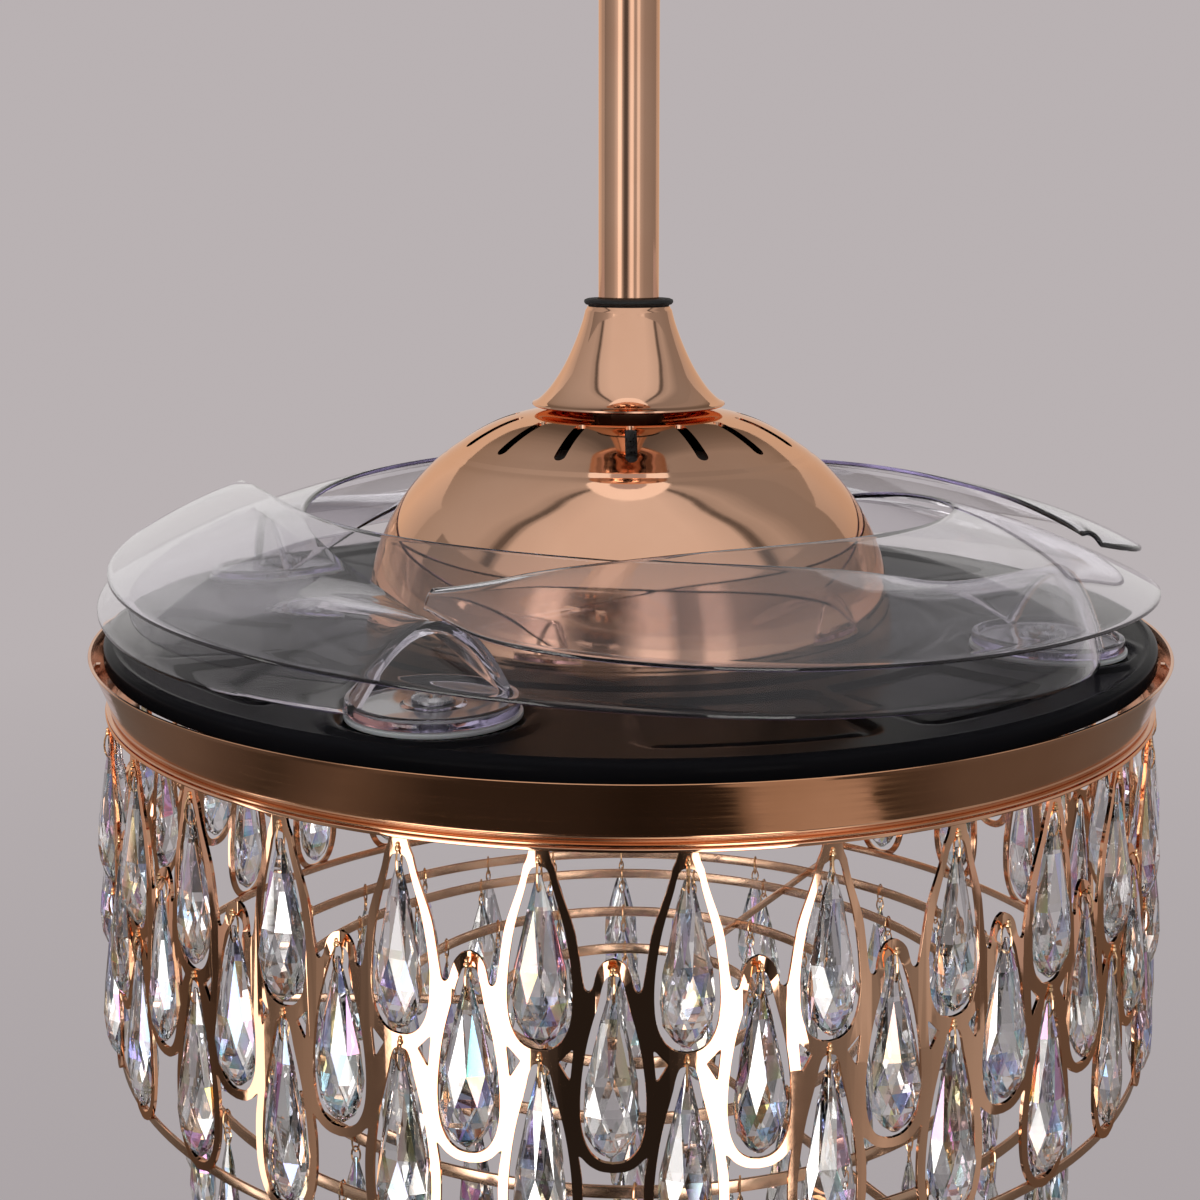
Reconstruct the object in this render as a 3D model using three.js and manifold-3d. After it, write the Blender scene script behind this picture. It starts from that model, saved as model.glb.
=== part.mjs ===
// A retractable blade ceiling fan with a crystal light under it, in millimetres, +Z up.
// The origin is on the ceiling face of the hanger bracket. Everything below is built with heights
// measured from the rim of the flared ring, and the whole object then hangs from the ceiling face.
// Azimuths are in degrees: 0 is the front (-Y) and 90 is the right (+X).

import * as THREE from 'three';
import { mergeVertices } from 'three/addons/utils/BufferGeometryUtils.js';
import Module from 'manifold-3d';

const wasm = await Module();
wasm.setup();

// ---------------------------------------------------------------- driving dimensions

const CLEARANCE = 0.3; // between pieces that seat on or in each other

// hanging height
const CEILING_HEIGHT = 360; // ceiling face above the ring's rim
const ROD_RADIUS = 13.35; // three-quarter inch pipe
const ROD_WALL = 2;
const ROD_FOOT = 104.3;

// hanger
const BRACKET_RADIUS = 54;
const BRACKET_PLATE = 3;
const BRACKET_WALL = 2.5;
const BRACKET_DEPTH = 46;
const BALL_RADIUS = 26;
const BALL_DROP = 34; // of the ball's centre below the ceiling
const BALL_CENTRE = CEILING_HEIGHT - BALL_DROP;
const ROD_END = 17; // how far the rod stands up past the ball's centre
const ROD_HEAD = BALL_CENTRE + ROD_END;
const PIN_RADIUS = 3;
const CANOPY_RADIUS = 65;
const CANOPY_MOUTH = 17;
const CANOPY_DEPTH = 64;
const CANOPY_FOOT = CEILING_HEIGHT - CANOPY_DEPTH;
const SHEET = 1.2; // wall of the spun sheet covers
const COVER_SCREW_RADIUS = 2;

// coupling
const GASKET_RADIUS = 19.7;
const GASKET_HEIGHT = 4;
const CONE_TOP_RADIUS = 18.9;
const CONE_TOP = 141.6;
const CONE_LIP_RADIUS = 42.5;
const CONE_LIP = 99.4;
const YOKE_RADIUS = 16;
const YOKE_FOOT = 88;
const YOKE_HEAD = 128;
const CLEVIS_PIN_HEIGHT = 117;

// motor
const SHAFT_RADIUS = 8;
const SHAFT_BORE = 5;
const CASE_RADIUS = 81;
const DOME_MARGIN = 36; // from the rotor's case out to the foot of the dome
const DOME_FOOT_RADIUS = CASE_RADIUS + DOME_MARGIN;
const DOME_HOLE_RADIUS = 21;
const DOME_HEAD = 97.4;
const DOME_SHEET = 1.5;
const VENT_COUNT = 15;
const VENT_WIDTH = 5;
const VENT_INNER = 48;
const VENT_OUTER = 73;
const CASE_WALL = 3;
const CASE_HEAD = 69;
const BEARING_RADIUS = 16;
const BEARING_WIDTH = 9;
const MAGNET_THICKNESS = 6;
const AIR_GAP = 0.6;
const STATOR_FOOT = 26;
const STATOR_HEAD = 50;
const STATOR_TEETH = 12;
const WINDING_HEIGHT = 9;
const WINDING_BORE = 26;
const WINDING_INSET = 6.2; // of a winding from the face of the stator's teeth

// tray
const TRAY_GAP = 5.2; // between the tray and the rim of the flared ring
const TRAY_ROLL = 6; // width of the tray's rolled rim
const TRAY_TOP = 5;
const TRAY_SHEET = 2.5;
const TRAY_RIM_FOOT = -3;
const TRAY_HOLE_RADIUS = 60;
const POCKET_DEPTH = 1.2;
const POCKET_LENGTH = 62; // along a radius
const POCKET_MARGIN = 16; // between a pocket and the tray's edge

// blades
const BLADE_COUNT = 4;
const FIRST_PIVOT_AZIMUTH = -23;
const PIVOT_INSET = 43; // of a blade's pivot from the tray's edge
const BLADE_THICKNESS = 2.2;
const ROOT_DISC_RADIUS = 31;
const ROOT_DISC_THICKNESS = 3;
const ROOT_ARCH = 25; // how far the root end of the blade arches over its disc
const WASHER_THICKNESS = 1.7;
const PIVOT_RADIUS_OF_SCREW = 5;
const PIVOT_HEAD_RADIUS = 8;
const PIVOT_HEAD_HEIGHT = 3;
const PIVOT_NUT_RADIUS = 5.5;
const SPRING_RADIUS = 12;

// light
const RING_FOOT = -23.5;
const RING_LEDGE = 2.4; // how far the cage stands out past the foot of the ring
const RING_FLARE = 9.2; // how far the rim of the ring stands out past its foot
const RING_BEND = -16; // where the steep part of the flare starts
const RING_FLANGE = 13.6; // width of the flange under the ring
const CAGE_RADIUS = 227.6;
const CAGE_SHEET = 1.3;
const CAGE_COLUMNS = 29;
const CAGE_TURN = -2.2; // azimuth of a second-row drop
const BAR = 3.3; // width of the cage's bars
const OPENING_WIDTH = 22.1;
const ROW_TOPS = [-30.5, -68, -98.5];
const ROW_HEIGHTS = [63.5, 64.5, 70];
const HOOP_TOP = RING_FOOT - CLEARANCE;
const HOOP_FOOT = -27;
const SPIDER_ARMS = 6;
const SPIDER_THICKNESS = 2;
const SPIDER_ARM_WIDTH = 22;
const SPIDER_HUB_RADIUS = 60;
const CRYSTAL_WIDTH = 19.5;
const CRYSTAL_THICKNESS = 11;
const DROP_WAIST = 0.7; // share of a crystal's length above its widest place
const CRYSTAL_GAP = 3; // between the top of an opening and its crystal
const WIRE_RADIUS = 0.6;
const TIER_HEIGHT = -178; // middle of the flat strips
const TIER_STRIP_HEIGHT = 5;
const TIER_STRIP_THICKNESS = 1.2;
const TIER_HOOP_LAP = 7; // how far the outer hoop stands up past the other strips, inside the cage's foot
const TIER_HOOP_HEIGHT = 4;
const TIER_TAB = 6; // width of the tab that carries a spoke up to the outer hoop
const TIER_RADII = [62, 110, 165, 196];
const TIER_CRYSTALS = [10, 20, 26, 32];
const TIER_CRYSTAL_LENGTH = 50;
const TIER_PIN = 10; // wire pin between a strip and its crystal
const SPOKE_COUNT = 3;
const SPOKE_AZIMUTH = 148.3;
const DRIVER_BOX = [110, 42, 20];
const LED_RADIUS = 95;
const LED_THICKNESS = 2;
const DIFFUSER_DEPTH = 12;

// round detail
const LARGE_SEGMENTS = 36;
const DOME_SEGMENTS = 24;
const MIDDLE_SEGMENTS = 20;
const SMALL_SEGMENTS = 12;

// radii that follow from the cage, which the ring stands on
const ringFootRadius = CAGE_RADIUS - RING_LEDGE;
const ringTopRadius = ringFootRadius + RING_FLARE;
const trayRadius = ringTopRadius - SHEET - TRAY_GAP;
const pivotRadius = trayRadius - PIVOT_INSET;

// ---------------------------------------------------------------- materials

const finish = (colour, roughness, metalness, opacity = 1) =>
  new THREE.MeshStandardMaterial({ color: colour, roughness, metalness, opacity, transparent: opacity < 1 });

const roseGold = finish(0xd9a184, 0.12, 1);
const steel = finish(0xb9bcc0, 0.3, 1);
const zincSteel = finish(0x9fa3a6, 0.45, 0.9);
const siliconSteel = finish(0x5a5d61, 0.5, 0.9);
const copper = finish(0xb46a3c, 0.35, 0.9);
const ferrite = finish(0x2b2b2d, 0.6, 0.1);
const castAluminium = finish(0xa7a9ac, 0.5, 0.9);
const blackTray = finish(0x17181b, 0.42, 0.1);
const rubber = finish(0x111112, 0.85, 0);
const clearPlastic = finish(0xe9eaf6, 0.04, 0, 0.35);
const whiteNylon = finish(0xf0f0ee, 0.5, 0);
const crystalGlass = finish(0xffffff, 0.02, 0, 0.5);
const circuitWhite = finish(0xe8e8e4, 0.5, 0);
const opalAcrylic = finish(0xf6f4ee, 0.35, 0, 0.9);

// ---------------------------------------------------------------- helpers

const radians = (degrees) => (degrees * Math.PI) / 180;

// A point at a radius, an azimuth from the front and a height.
function polar(radius, azimuth, height) {
  const angle = radians(azimuth);
  return new THREE.Vector3(radius * Math.sin(angle), -radius * Math.cos(angle), height);
}

// Turns a shape or mesh made at the front (-Y) to an azimuth.
const turnedTo = (azimuth) => new THREE.Matrix4().makeRotationZ(radians(azimuth));

// Turns what was drawn along +X so that it points to an azimuth.
const pointedTo = (azimuth) => new THREE.Matrix4().makeRotationZ(radians(azimuth - 90));

function bareMesh(geometry) {
  const bare = new THREE.BufferGeometry();
  const loose = geometry.index ? geometry.toNonIndexed() : geometry;
  bare.setAttribute('position', loose.getAttribute('position').clone());
  return mergeVertices(bare, 1e-3);
}

// A closed mesh as a solid, whichever way its faces were wound.
function toSolid(geometry) {
  const merged = bareMesh(geometry);
  const vertProperties = new Float32Array(merged.attributes.position.array);
  const triVerts = new Uint32Array(merged.index.array);
  const solid = new wasm.Manifold(new wasm.Mesh({ numProp: 3, vertProperties, triVerts }));
  if (solid.volume() > 0) return solid;
  for (let i = 0; i < triVerts.length; i += 3) {
    [triVerts[i + 1], triVerts[i + 2]] = [triVerts[i + 2], triVerts[i + 1]];
  }
  return new wasm.Manifold(new wasm.Mesh({ numProp: 3, vertProperties, triVerts }));
}

function toGeometry(solid) {
  const mesh = solid.getMesh();
  const geometry = new THREE.BufferGeometry();
  const points = new Float32Array(mesh.numVert * 3);
  for (let i = 0; i < mesh.numVert; i++) {
    for (let k = 0; k < 3; k++) points[3 * i + k] = mesh.vertProperties[mesh.numProp * i + k];
  }
  geometry.setAttribute('position', new THREE.BufferAttribute(points, 3));
  geometry.setIndex(new THREE.BufferAttribute(new Uint32Array(mesh.triVerts), 1));
  geometry.computeVertexNormals();
  return geometry;
}

// A solid of revolution about Z from a closed profile of [radius, height] corners.
function turned(profile, segments = SMALL_SEGMENTS) {
  const corners = profile.map(([radius, height]) => new THREE.Vector2(radius, height));
  const onAxis = profile[0][0] === 0 && profile.at(-1)[0] === 0;
  if (!onAxis) corners.push(corners[0].clone());
  return toSolid(new THREE.LatheGeometry(corners, segments).rotateX(Math.PI / 2));
}

const tube = (inner, outer, foot, head, segments) =>
  turned([[inner, foot], [outer, foot], [outer, head], [inner, head]], segments);

const disc = (radius, foot, head, segments) =>
  turned([[0, foot], [radius, foot], [radius, head], [0, head]], segments);

// The sheet of a given thickness inside an outline of [radius, height] corners from foot to head.
function spunSheet(outline, thickness, segments) {
  const inside = outline.map(([radius, height], i) => {
    const [r0, h0] = outline[Math.max(i - 1, 0)];
    const [r1, h1] = outline[Math.min(i + 1, outline.length - 1)];
    const length = Math.hypot(r1 - r0, h1 - h0);
    return [radius - (thickness * (h1 - h0)) / length, height + (thickness * (r1 - r0)) / length];
  });
  return turned([...outline, ...inside.reverse()], segments);
}

// A round bar between two points.
function bar(from, to, radius, segments = 10) {
  const length = from.distanceTo(to);
  const turn = new THREE.Quaternion().setFromUnitVectors(
    new THREE.Vector3(0, 1, 0), to.clone().sub(from).normalize());
  const cylinder = new THREE.CylinderGeometry(radius, radius, length, segments);
  cylinder.applyQuaternion(turn);
  cylinder.translate(...from.clone().add(to).multiplyScalar(0.5).toArray());
  return toSolid(cylinder);
}

function block(size, centre) {
  return toSolid(new THREE.BoxGeometry(...size).translate(...centre));
}

const moved = (solid, matrix) => solid.transform(matrix.elements);

const united = (solids) => solids.reduce((all, next) => all.add(next));

const part = new THREE.Group();
part.name = 'retractable_blade_ceiling_fan';
part.position.z = -CEILING_HEIGHT;

function place(name, solid, material, parent = part) {
  const mesh = new THREE.Mesh(toGeometry(solid), material);
  mesh.name = name;
  parent.add(mesh);
  return mesh;
}

// ---------------------------------------------------------------- hanger, canopy and rod

function hangerBracket() {
  const foot = CEILING_HEIGHT - BRACKET_DEPTH;
  const seatHead = foot + BRACKET_WALL;
  const seatRadius = Math.sqrt(BALL_RADIUS ** 2 - (BALL_CENTRE - seatHead) ** 2) + CLEARANCE;
  const shoulder = CEILING_HEIGHT - 14;
  const cup = spunSheet([[seatRadius, foot], [BRACKET_RADIUS - 20, foot], [BRACKET_RADIUS - 14, foot + 8],
    [BRACKET_RADIUS - 8, shoulder]], BRACKET_WALL);
  const plate = disc(BRACKET_RADIUS, CEILING_HEIGHT - BRACKET_PLATE, CEILING_HEIGHT);
  const wall = tube(BRACKET_RADIUS - 8 - BRACKET_WALL, BRACKET_RADIUS - 8, shoulder - 2, CEILING_HEIGHT - 1);
  return united([cup, wall, plate]);
}

function hangerBall() {
  const bore = ROD_RADIUS + CLEARANCE;
  const steps = 4;
  const lowest = -Math.sqrt(BALL_RADIUS ** 2 - (bore + 4) ** 2);
  const start = Math.asin(lowest / BALL_RADIUS);
  const outline = [];
  for (let i = 0; i <= steps; i++) {
    const angle = start + (i / steps) * (radians(25) - start);
    outline.push([BALL_RADIUS * Math.cos(angle), BALL_CENTRE + BALL_RADIUS * Math.sin(angle)]);
  }
  const head = outline.at(-1)[1];
  const ball = turned([[bore, outline[0][1]], ...outline, [bore, head]]);
  const pinHole = bar(new THREE.Vector3(-BALL_RADIUS - 5, 0, BALL_CENTRE),
    new THREE.Vector3(BALL_RADIUS + 5, 0, BALL_CENTRE), PIN_RADIUS + CLEARANCE);
  return ball.subtract(pinHole);
}

const pinAcross = (height, halfLength, radius) =>
  bar(new THREE.Vector3(-halfLength, 0, height), new THREE.Vector3(halfLength, 0, height), radius);

function downrod() {
  return tube(ROD_RADIUS - ROD_WALL, ROD_RADIUS, ROD_FOOT, ROD_HEAD)
    .subtract(pinAcross(BALL_CENTRE, ROD_RADIUS + 5, PIN_RADIUS + CLEARANCE))
    .subtract(pinAcross(CLEVIS_PIN_HEIGHT, ROD_RADIUS + 5, PIN_RADIUS + CLEARANCE));
}

// The canopy's bowl, as shares of its radius and its depth.
const bowlProfile = [[0.492, 0.047], [0.738, 0.234], [0.908, 0.562]];

function canopy() {
  const bowl = bowlProfile.map(([out, up]) => [out * CANOPY_RADIUS, CANOPY_FOOT + up * CANOPY_DEPTH]);
  const outline = [[CANOPY_MOUTH, CANOPY_FOOT], ...bowl, [CANOPY_RADIUS, canopyScrewHeight],
    [CANOPY_RADIUS, CEILING_HEIGHT - CLEARANCE]];
  let shell = spunSheet(outline, SHEET, MIDDLE_SEGMENTS);
  for (const side of [-1, 1]) {
    shell = shell.subtract(canopyScrewHole(side));
  }
  return shell;
}

const canopyScrewHeight = CEILING_HEIGHT - 6;

const canopyScrewHole = (side) =>
  bar(new THREE.Vector3(side * (CANOPY_RADIUS - 6), 0, canopyScrewHeight),
    new THREE.Vector3(side * (CANOPY_RADIUS + 2), 0, canopyScrewHeight), COVER_SCREW_RADIUS + CLEARANCE);

// A screw that comes in from the side, through the canopy, to the bracket's wall.
function canopyScrew(side) {
  const inner = BRACKET_RADIUS - 8 + CLEARANCE;
  const stem = bar(new THREE.Vector3(side * inner, 0, canopyScrewHeight),
    new THREE.Vector3(side * (CANOPY_RADIUS + 1), 0, canopyScrewHeight), COVER_SCREW_RADIUS);
  const head = bar(new THREE.Vector3(side * (CANOPY_RADIUS + CLEARANCE), 0, canopyScrewHeight),
    new THREE.Vector3(side * (CANOPY_RADIUS + 2.5), 0, canopyScrewHeight), 2 * COVER_SCREW_RADIUS);
  return stem.add(head);
}

function addHanger() {
  place('hanger_bracket', hangerBracket(), zincSteel);
  place('hanger_ball', hangerBall(), zincSteel);
  place('hanger_ball_pin', pinAcross(BALL_CENTRE, BALL_RADIUS - 3, PIN_RADIUS), steel);
  place('downrod', downrod(), roseGold);
  place('canopy', canopy(), roseGold);
  place('canopy_screw_left', canopyScrew(-1), steel);
  place('canopy_screw_right', canopyScrew(1), steel);
}

// ---------------------------------------------------------------- coupling

// The cone, as shares of the way from its top's radius out to its lip's and from its lip up to its top.
const coneProfile = [[1, 0], [0.81, 0.09], [0.555, 0.284], [0.242, 0.607], [0, 1]];

function couplingCover() {
  const outline = coneProfile.map(([out, up]) => [CONE_TOP_RADIUS + out * (CONE_LIP_RADIUS - CONE_TOP_RADIUS),
    CONE_LIP + up * (CONE_TOP - CONE_LIP)]);
  return spunSheet(outline, SHEET, MIDDLE_SEGMENTS);
}

function gasket() {
  const foot = CONE_TOP + CLEARANCE;
  const bore = ROD_RADIUS + CLEARANCE;
  return turned([[bore, foot], [GASKET_RADIUS - 1, foot], [GASKET_RADIUS, foot + 1],
    [GASKET_RADIUS, foot + 2.6], [GASKET_RADIUS - 1.5, foot + GASKET_HEIGHT], [bore, foot + GASKET_HEIGHT]]);
}

function yoke() {
  const step = ROD_FOOT - CLEARANCE;
  const rodBore = ROD_RADIUS + CLEARANCE;
  const shaftBore = SHAFT_RADIUS + CLEARANCE;
  return turned([[shaftBore, YOKE_FOOT], [YOKE_RADIUS, YOKE_FOOT], [YOKE_RADIUS, YOKE_HEAD],
    [rodBore, YOKE_HEAD], [rodBore, step], [shaftBore, step]])
    .subtract(pinAcross(CLEVIS_PIN_HEIGHT, YOKE_RADIUS + 5, PIN_RADIUS + CLEARANCE));
}

function clevisPin() {
  const end = YOKE_RADIUS + 2.5;
  const head = bar(new THREE.Vector3(YOKE_RADIUS + CLEARANCE, 0, CLEVIS_PIN_HEIGHT),
    new THREE.Vector3(end, 0, CLEVIS_PIN_HEIGHT), PIN_RADIUS + 1.5);
  return pinAcross(CLEVIS_PIN_HEIGHT, end, PIN_RADIUS).add(head);
}

function addCoupling() {
  place('rod_gasket', gasket(), rubber);
  place('coupling_cover', couplingCover(), roseGold);
  place('yoke', yoke(), zincSteel);
  place('clevis_pin', clevisPin(), steel);
}

// ---------------------------------------------------------------- motor

const caseFoot = TRAY_TOP + CLEARANCE;
const caseFloor = caseFoot + CASE_WALL;
const magnetOuter = CASE_RADIUS - CASE_WALL - CLEARANCE;
const magnetInner = magnetOuter - MAGNET_THICKNESS;
const statorRadius = magnetInner * Math.cos(Math.PI / MIDDLE_SEGMENTS) - AIR_GAP;
const coreBore = SHAFT_RADIUS + CLEARANCE;
const bearingBore = BEARING_RADIUS + CLEARANCE;
const hubRadius = bearingBore + 4;

function motorShaft() {
  return tube(SHAFT_BORE, SHAFT_RADIUS, RING_FOOT - 12, ROD_FOOT - 2 * CLEARANCE);
}

function statorCore() {
  const shape = new THREE.Shape();
  const toothAngle = 360 / STATOR_TEETH;
  const yokeRadius = 0.48 * statorRadius;
  for (let i = 0; i < STATOR_TEETH; i++) {
    const middle = i * toothAngle;
    const corners = [[yokeRadius, -0.3], [statorRadius - 5, -0.17], [statorRadius, -0.45],
      [statorRadius, 0], [statorRadius, 0.45], [statorRadius - 5, 0.17], [yokeRadius, 0.3]];
    for (const [radius, share] of corners) {
      const { x, y } = polar(radius, middle + share * toothAngle, 0);
      if (shape.curves.length === 0 && shape.currentPoint.length() === 0) shape.moveTo(x, y);
      else shape.lineTo(x, y);
    }
  }
  const depth = STATOR_HEAD - STATOR_FOOT;
  const teeth = new THREE.ExtrudeGeometry(shape, { depth, bevelEnabled: false });
  return toSolid(teeth.translate(0, 0, STATOR_FOOT))
    .subtract(disc(coreBore, STATOR_FOOT - 1, STATOR_HEAD + 1));
}

function winding(foot) {
  const head = foot + WINDING_HEIGHT;
  const outer = statorRadius - WINDING_INSET;
  return turned([[WINDING_BORE, foot], [outer - 2, foot], [outer, foot + 3], [outer - 4, head],
    [WINDING_BORE + 4, head]]);
}

function rotorCaseLower() {
  const wallHead = CASE_HEAD - CASE_WALL - CLEARANCE;
  const hubHead = caseFloor + BEARING_WIDTH;
  const seat = caseFoot + 1;
  return turned([[SHAFT_RADIUS + 3, caseFoot], [CASE_RADIUS + 8, caseFoot], [CASE_RADIUS + 8, caseFloor],
    [CASE_RADIUS, caseFloor], [CASE_RADIUS, wallHead], [CASE_RADIUS - CASE_WALL, wallHead],
    [CASE_RADIUS - CASE_WALL, caseFloor], [hubRadius, caseFloor], [hubRadius, hubHead],
    [bearingBore, hubHead], [bearingBore, seat], [SHAFT_RADIUS + 3, seat]], MIDDLE_SEGMENTS);
}

function rotorCaseUpper() {
  const foot = CASE_HEAD - CASE_WALL;
  const hubHead = CASE_HEAD + BEARING_WIDTH - 1;
  return turned([[bearingBore, foot], [CASE_RADIUS, foot], [CASE_RADIUS, CASE_HEAD], [hubRadius, CASE_HEAD],
    [hubRadius, hubHead + 1], [SHAFT_RADIUS + 3, hubHead + 1], [SHAFT_RADIUS + 3, hubHead],
    [bearingBore, hubHead]], MIDDLE_SEGMENTS);
}

const bearing = (foot) => tube(SHAFT_RADIUS + CLEARANCE, BEARING_RADIUS, foot, foot + BEARING_WIDTH);

const domeFoot = TRAY_TOP + CLEARANCE;

// The outside of the motor housing, from its foot on the tray to the hole in its crown, as shares of
// the way from the hole's radius out to the foot's and from the foot up to the crown.
const domeProfile = [[1, 0], [0.981, 0.203], [0.917, 0.442], [0.802, 0.605], [0.646, 0.757],
  [0.49, 0.882], [0.323, 0.963], [0, 1]];

function ventCutter(azimuth) {
  const half = VENT_WIDTH / 2;
  const slot = new THREE.Shape();
  slot.absarc(VENT_OUTER - half, 0, half, -Math.PI / 2, Math.PI / 2, false);
  slot.absarc(VENT_INNER + half, 0, half, Math.PI / 2, 1.5 * Math.PI, false);
  const cutter = new THREE.ExtrudeGeometry(slot, { depth: 40, bevelEnabled: false, curveSegments: 2 });
  return moved(toSolid(cutter.translate(0, 0, CASE_HEAD + 1)), pointedTo(azimuth));
}

function motorHousing() {
  const width = DOME_FOOT_RADIUS - DOME_HOLE_RADIUS;
  const height = DOME_HEAD - domeFoot;
  const outline = domeProfile.map(([out, up]) => [DOME_HOLE_RADIUS + out * width, domeFoot + up * height]);
  let dome = spunSheet(outline, DOME_SHEET, DOME_SEGMENTS);
  for (let i = 0; i < VENT_COUNT; i++) dome = dome.subtract(ventCutter((360 / VENT_COUNT) * i));
  return dome;
}

function addMotor() {
  place('motor_shaft', motorShaft(), steel);
  place('stator_core', statorCore(), siliconSteel);
  const upperWinding = winding(STATOR_HEAD + CLEARANCE);
  const mirrored = new THREE.Matrix4().makeScale(1, 1, -1).setPosition(0, 0, STATOR_HEAD + STATOR_FOOT);
  place('stator_winding_upper', upperWinding, copper);
  place('stator_winding_lower', moved(upperWinding, mirrored), copper);
  place('rotor_case_lower', rotorCaseLower(), castAluminium);
  place('rotor_case_upper', rotorCaseUpper(), castAluminium);
  const magnets = tube(magnetInner, magnetOuter, STATOR_FOOT - 4, STATOR_HEAD + 4, MIDDLE_SEGMENTS);
  place('rotor_magnet_ring', magnets, ferrite);
  place('bearing_lower', bearing(caseFoot + 1 + CLEARANCE), steel);
  place('bearing_upper', bearing(CASE_HEAD - 1 - CLEARANCE - 1), steel);
  place('motor_housing', motorHousing(), roseGold);
}

// ---------------------------------------------------------------- blade tray

const pivotAzimuth = (index) => FIRST_PIVOT_AZIMUTH + (360 / BLADE_COUNT) * index;

// A rounded sector cut into the top of the tray.
function pocketCutter(azimuth, spread, inner, outer) {
  const shape = new THREE.Shape();
  const steps = 3;
  for (let i = 0; i <= steps; i++) {
    const angle = radians(spread * (i / steps - 0.5));
    const point = [outer * Math.cos(angle), outer * Math.sin(angle)];
    if (i === 0) shape.moveTo(...point);
    else shape.lineTo(...point);
  }
  for (let i = steps; i >= 0; i--) {
    const angle = radians(0.9 * spread * (i / steps - 0.5));
    shape.lineTo(inner * Math.cos(angle), inner * Math.sin(angle));
  }
  const cutter = new THREE.ExtrudeGeometry(shape, { depth: 5, bevelEnabled: false });
  return moved(toSolid(cutter.translate(0, 0, TRAY_TOP - POCKET_DEPTH)), pointedTo(azimuth));
}

function bladeTray() {
  const underside = TRAY_TOP - TRAY_SHEET;
  const rimWall = trayRadius - TRAY_SHEET;
  const rollStart = trayRadius - TRAY_ROLL;
  const pocketOuter = trayRadius - POCKET_MARGIN;
  const pocketInner = pocketOuter - POCKET_LENGTH;
  let tray = turned([[TRAY_HOLE_RADIUS, underside], [TRAY_HOLE_RADIUS, TRAY_TOP], [rollStart, TRAY_TOP],
    [trayRadius - TRAY_ROLL / 3, TRAY_TOP - 0.9], [trayRadius, TRAY_TOP - 3], [trayRadius, TRAY_RIM_FOOT],
    [rimWall, TRAY_RIM_FOOT], [rimWall, TRAY_TOP - 4], [rollStart - 1, underside]], LARGE_SEGMENTS);
  for (let i = 0; i < BLADE_COUNT; i++) {
    const pivot = pivotAzimuth(i);
    tray = tray.subtract(pocketCutter(pivot + 35, 26, pocketInner, pocketOuter));
    tray = tray.subtract(pocketCutter(pivot + 62, 22, pocketInner, pocketOuter));
    const { x, y } = polar(pivotRadius, pivot, 0);
    const hole = disc(PIVOT_RADIUS_OF_SCREW - 2 + CLEARANCE, underside - 1, TRAY_TOP + 1, 8);
    tray = tray.subtract(hole.translate(x, y, 0));
  }
  return tray;
}

// ---------------------------------------------------------------- blades

const washerFoot = TRAY_TOP + CLEARANCE;
const rootFoot = washerFoot + WASHER_THICKNESS + CLEARANCE;
const rootHead = rootFoot + ROOT_DISC_THICKNESS;
const rootMiddle = (rootFoot + rootHead) / 2;

// Where an edge of the sheet starts on its root disc, as shares of the disc's radius: along the circle
// of the pivots, and outwards.
const rootCorner = (along, out) =>
  [THREE.MathUtils.radToDeg((along * ROOT_DISC_RADIUS) / pivotRadius), out * ROOT_DISC_RADIUS, rootMiddle];

// The two edges of a blade at rest, as [sweep, reach, height]: the sweep is counted in degrees from
// the blade's own pivot, against the azimuth, and the reach outwards from the circle of the pivots.
const innerEdge = [rootCorner(-0.74, -0.58), [10, -33, 31], [33, -40, 46], [70, -43, 55], [110, -40, 59],
  [145, -33, 60], [165, -13, 58], [178, 12, 52]];
const outerEdge = [rootCorner(0.5, 0.78), [24, 41, 13], [50, 45, 18], [90, 43, 27], [125, 41, 31],
  [150, 40, 35], [168, 36, 41], [178, 20, 48]];

const edgeCurve = (edge) =>
  new THREE.CatmullRomCurve3(edge.map(([sweep, reach, height]) => new THREE.Vector3(sweep, reach, height)),
    false, 'centripetal');

const innerCurve = edgeCurve(innerEdge);
const outerCurve = edgeCurve(outerEdge);

// A point on the middle of the blade's sheet, along and across it, with the pivot at azimuth 0.
function sheetPoint(along, across) {
  const inner = innerCurve.getPoint(along);
  const outer = outerCurve.getPoint(along);
  const { x: sweep, y: reach, z: height } = outer.lerp(inner, across);
  const fade = 1 - THREE.MathUtils.smoothstep(along, 0, 0.3);
  const arch = (3 + ROOT_ARCH * fade) * 4 * across * (1 - across);
  return polar(pivotRadius + reach, -sweep, height + arch);
}

function sheetNormal(along, across) {
  const step = 0.01;
  const a = THREE.MathUtils.clamp(along, step, 1 - step);
  const c = THREE.MathUtils.clamp(across, step, 1 - step);
  const lengthwise = sheetPoint(a + step, c).sub(sheetPoint(a - step, c));
  const crosswise = sheetPoint(a, c + step).sub(sheetPoint(a, c - step));
  const normal = lengthwise.cross(crosswise).normalize();
  return normal.z < 0 ? normal.negate() : normal;
}

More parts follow.
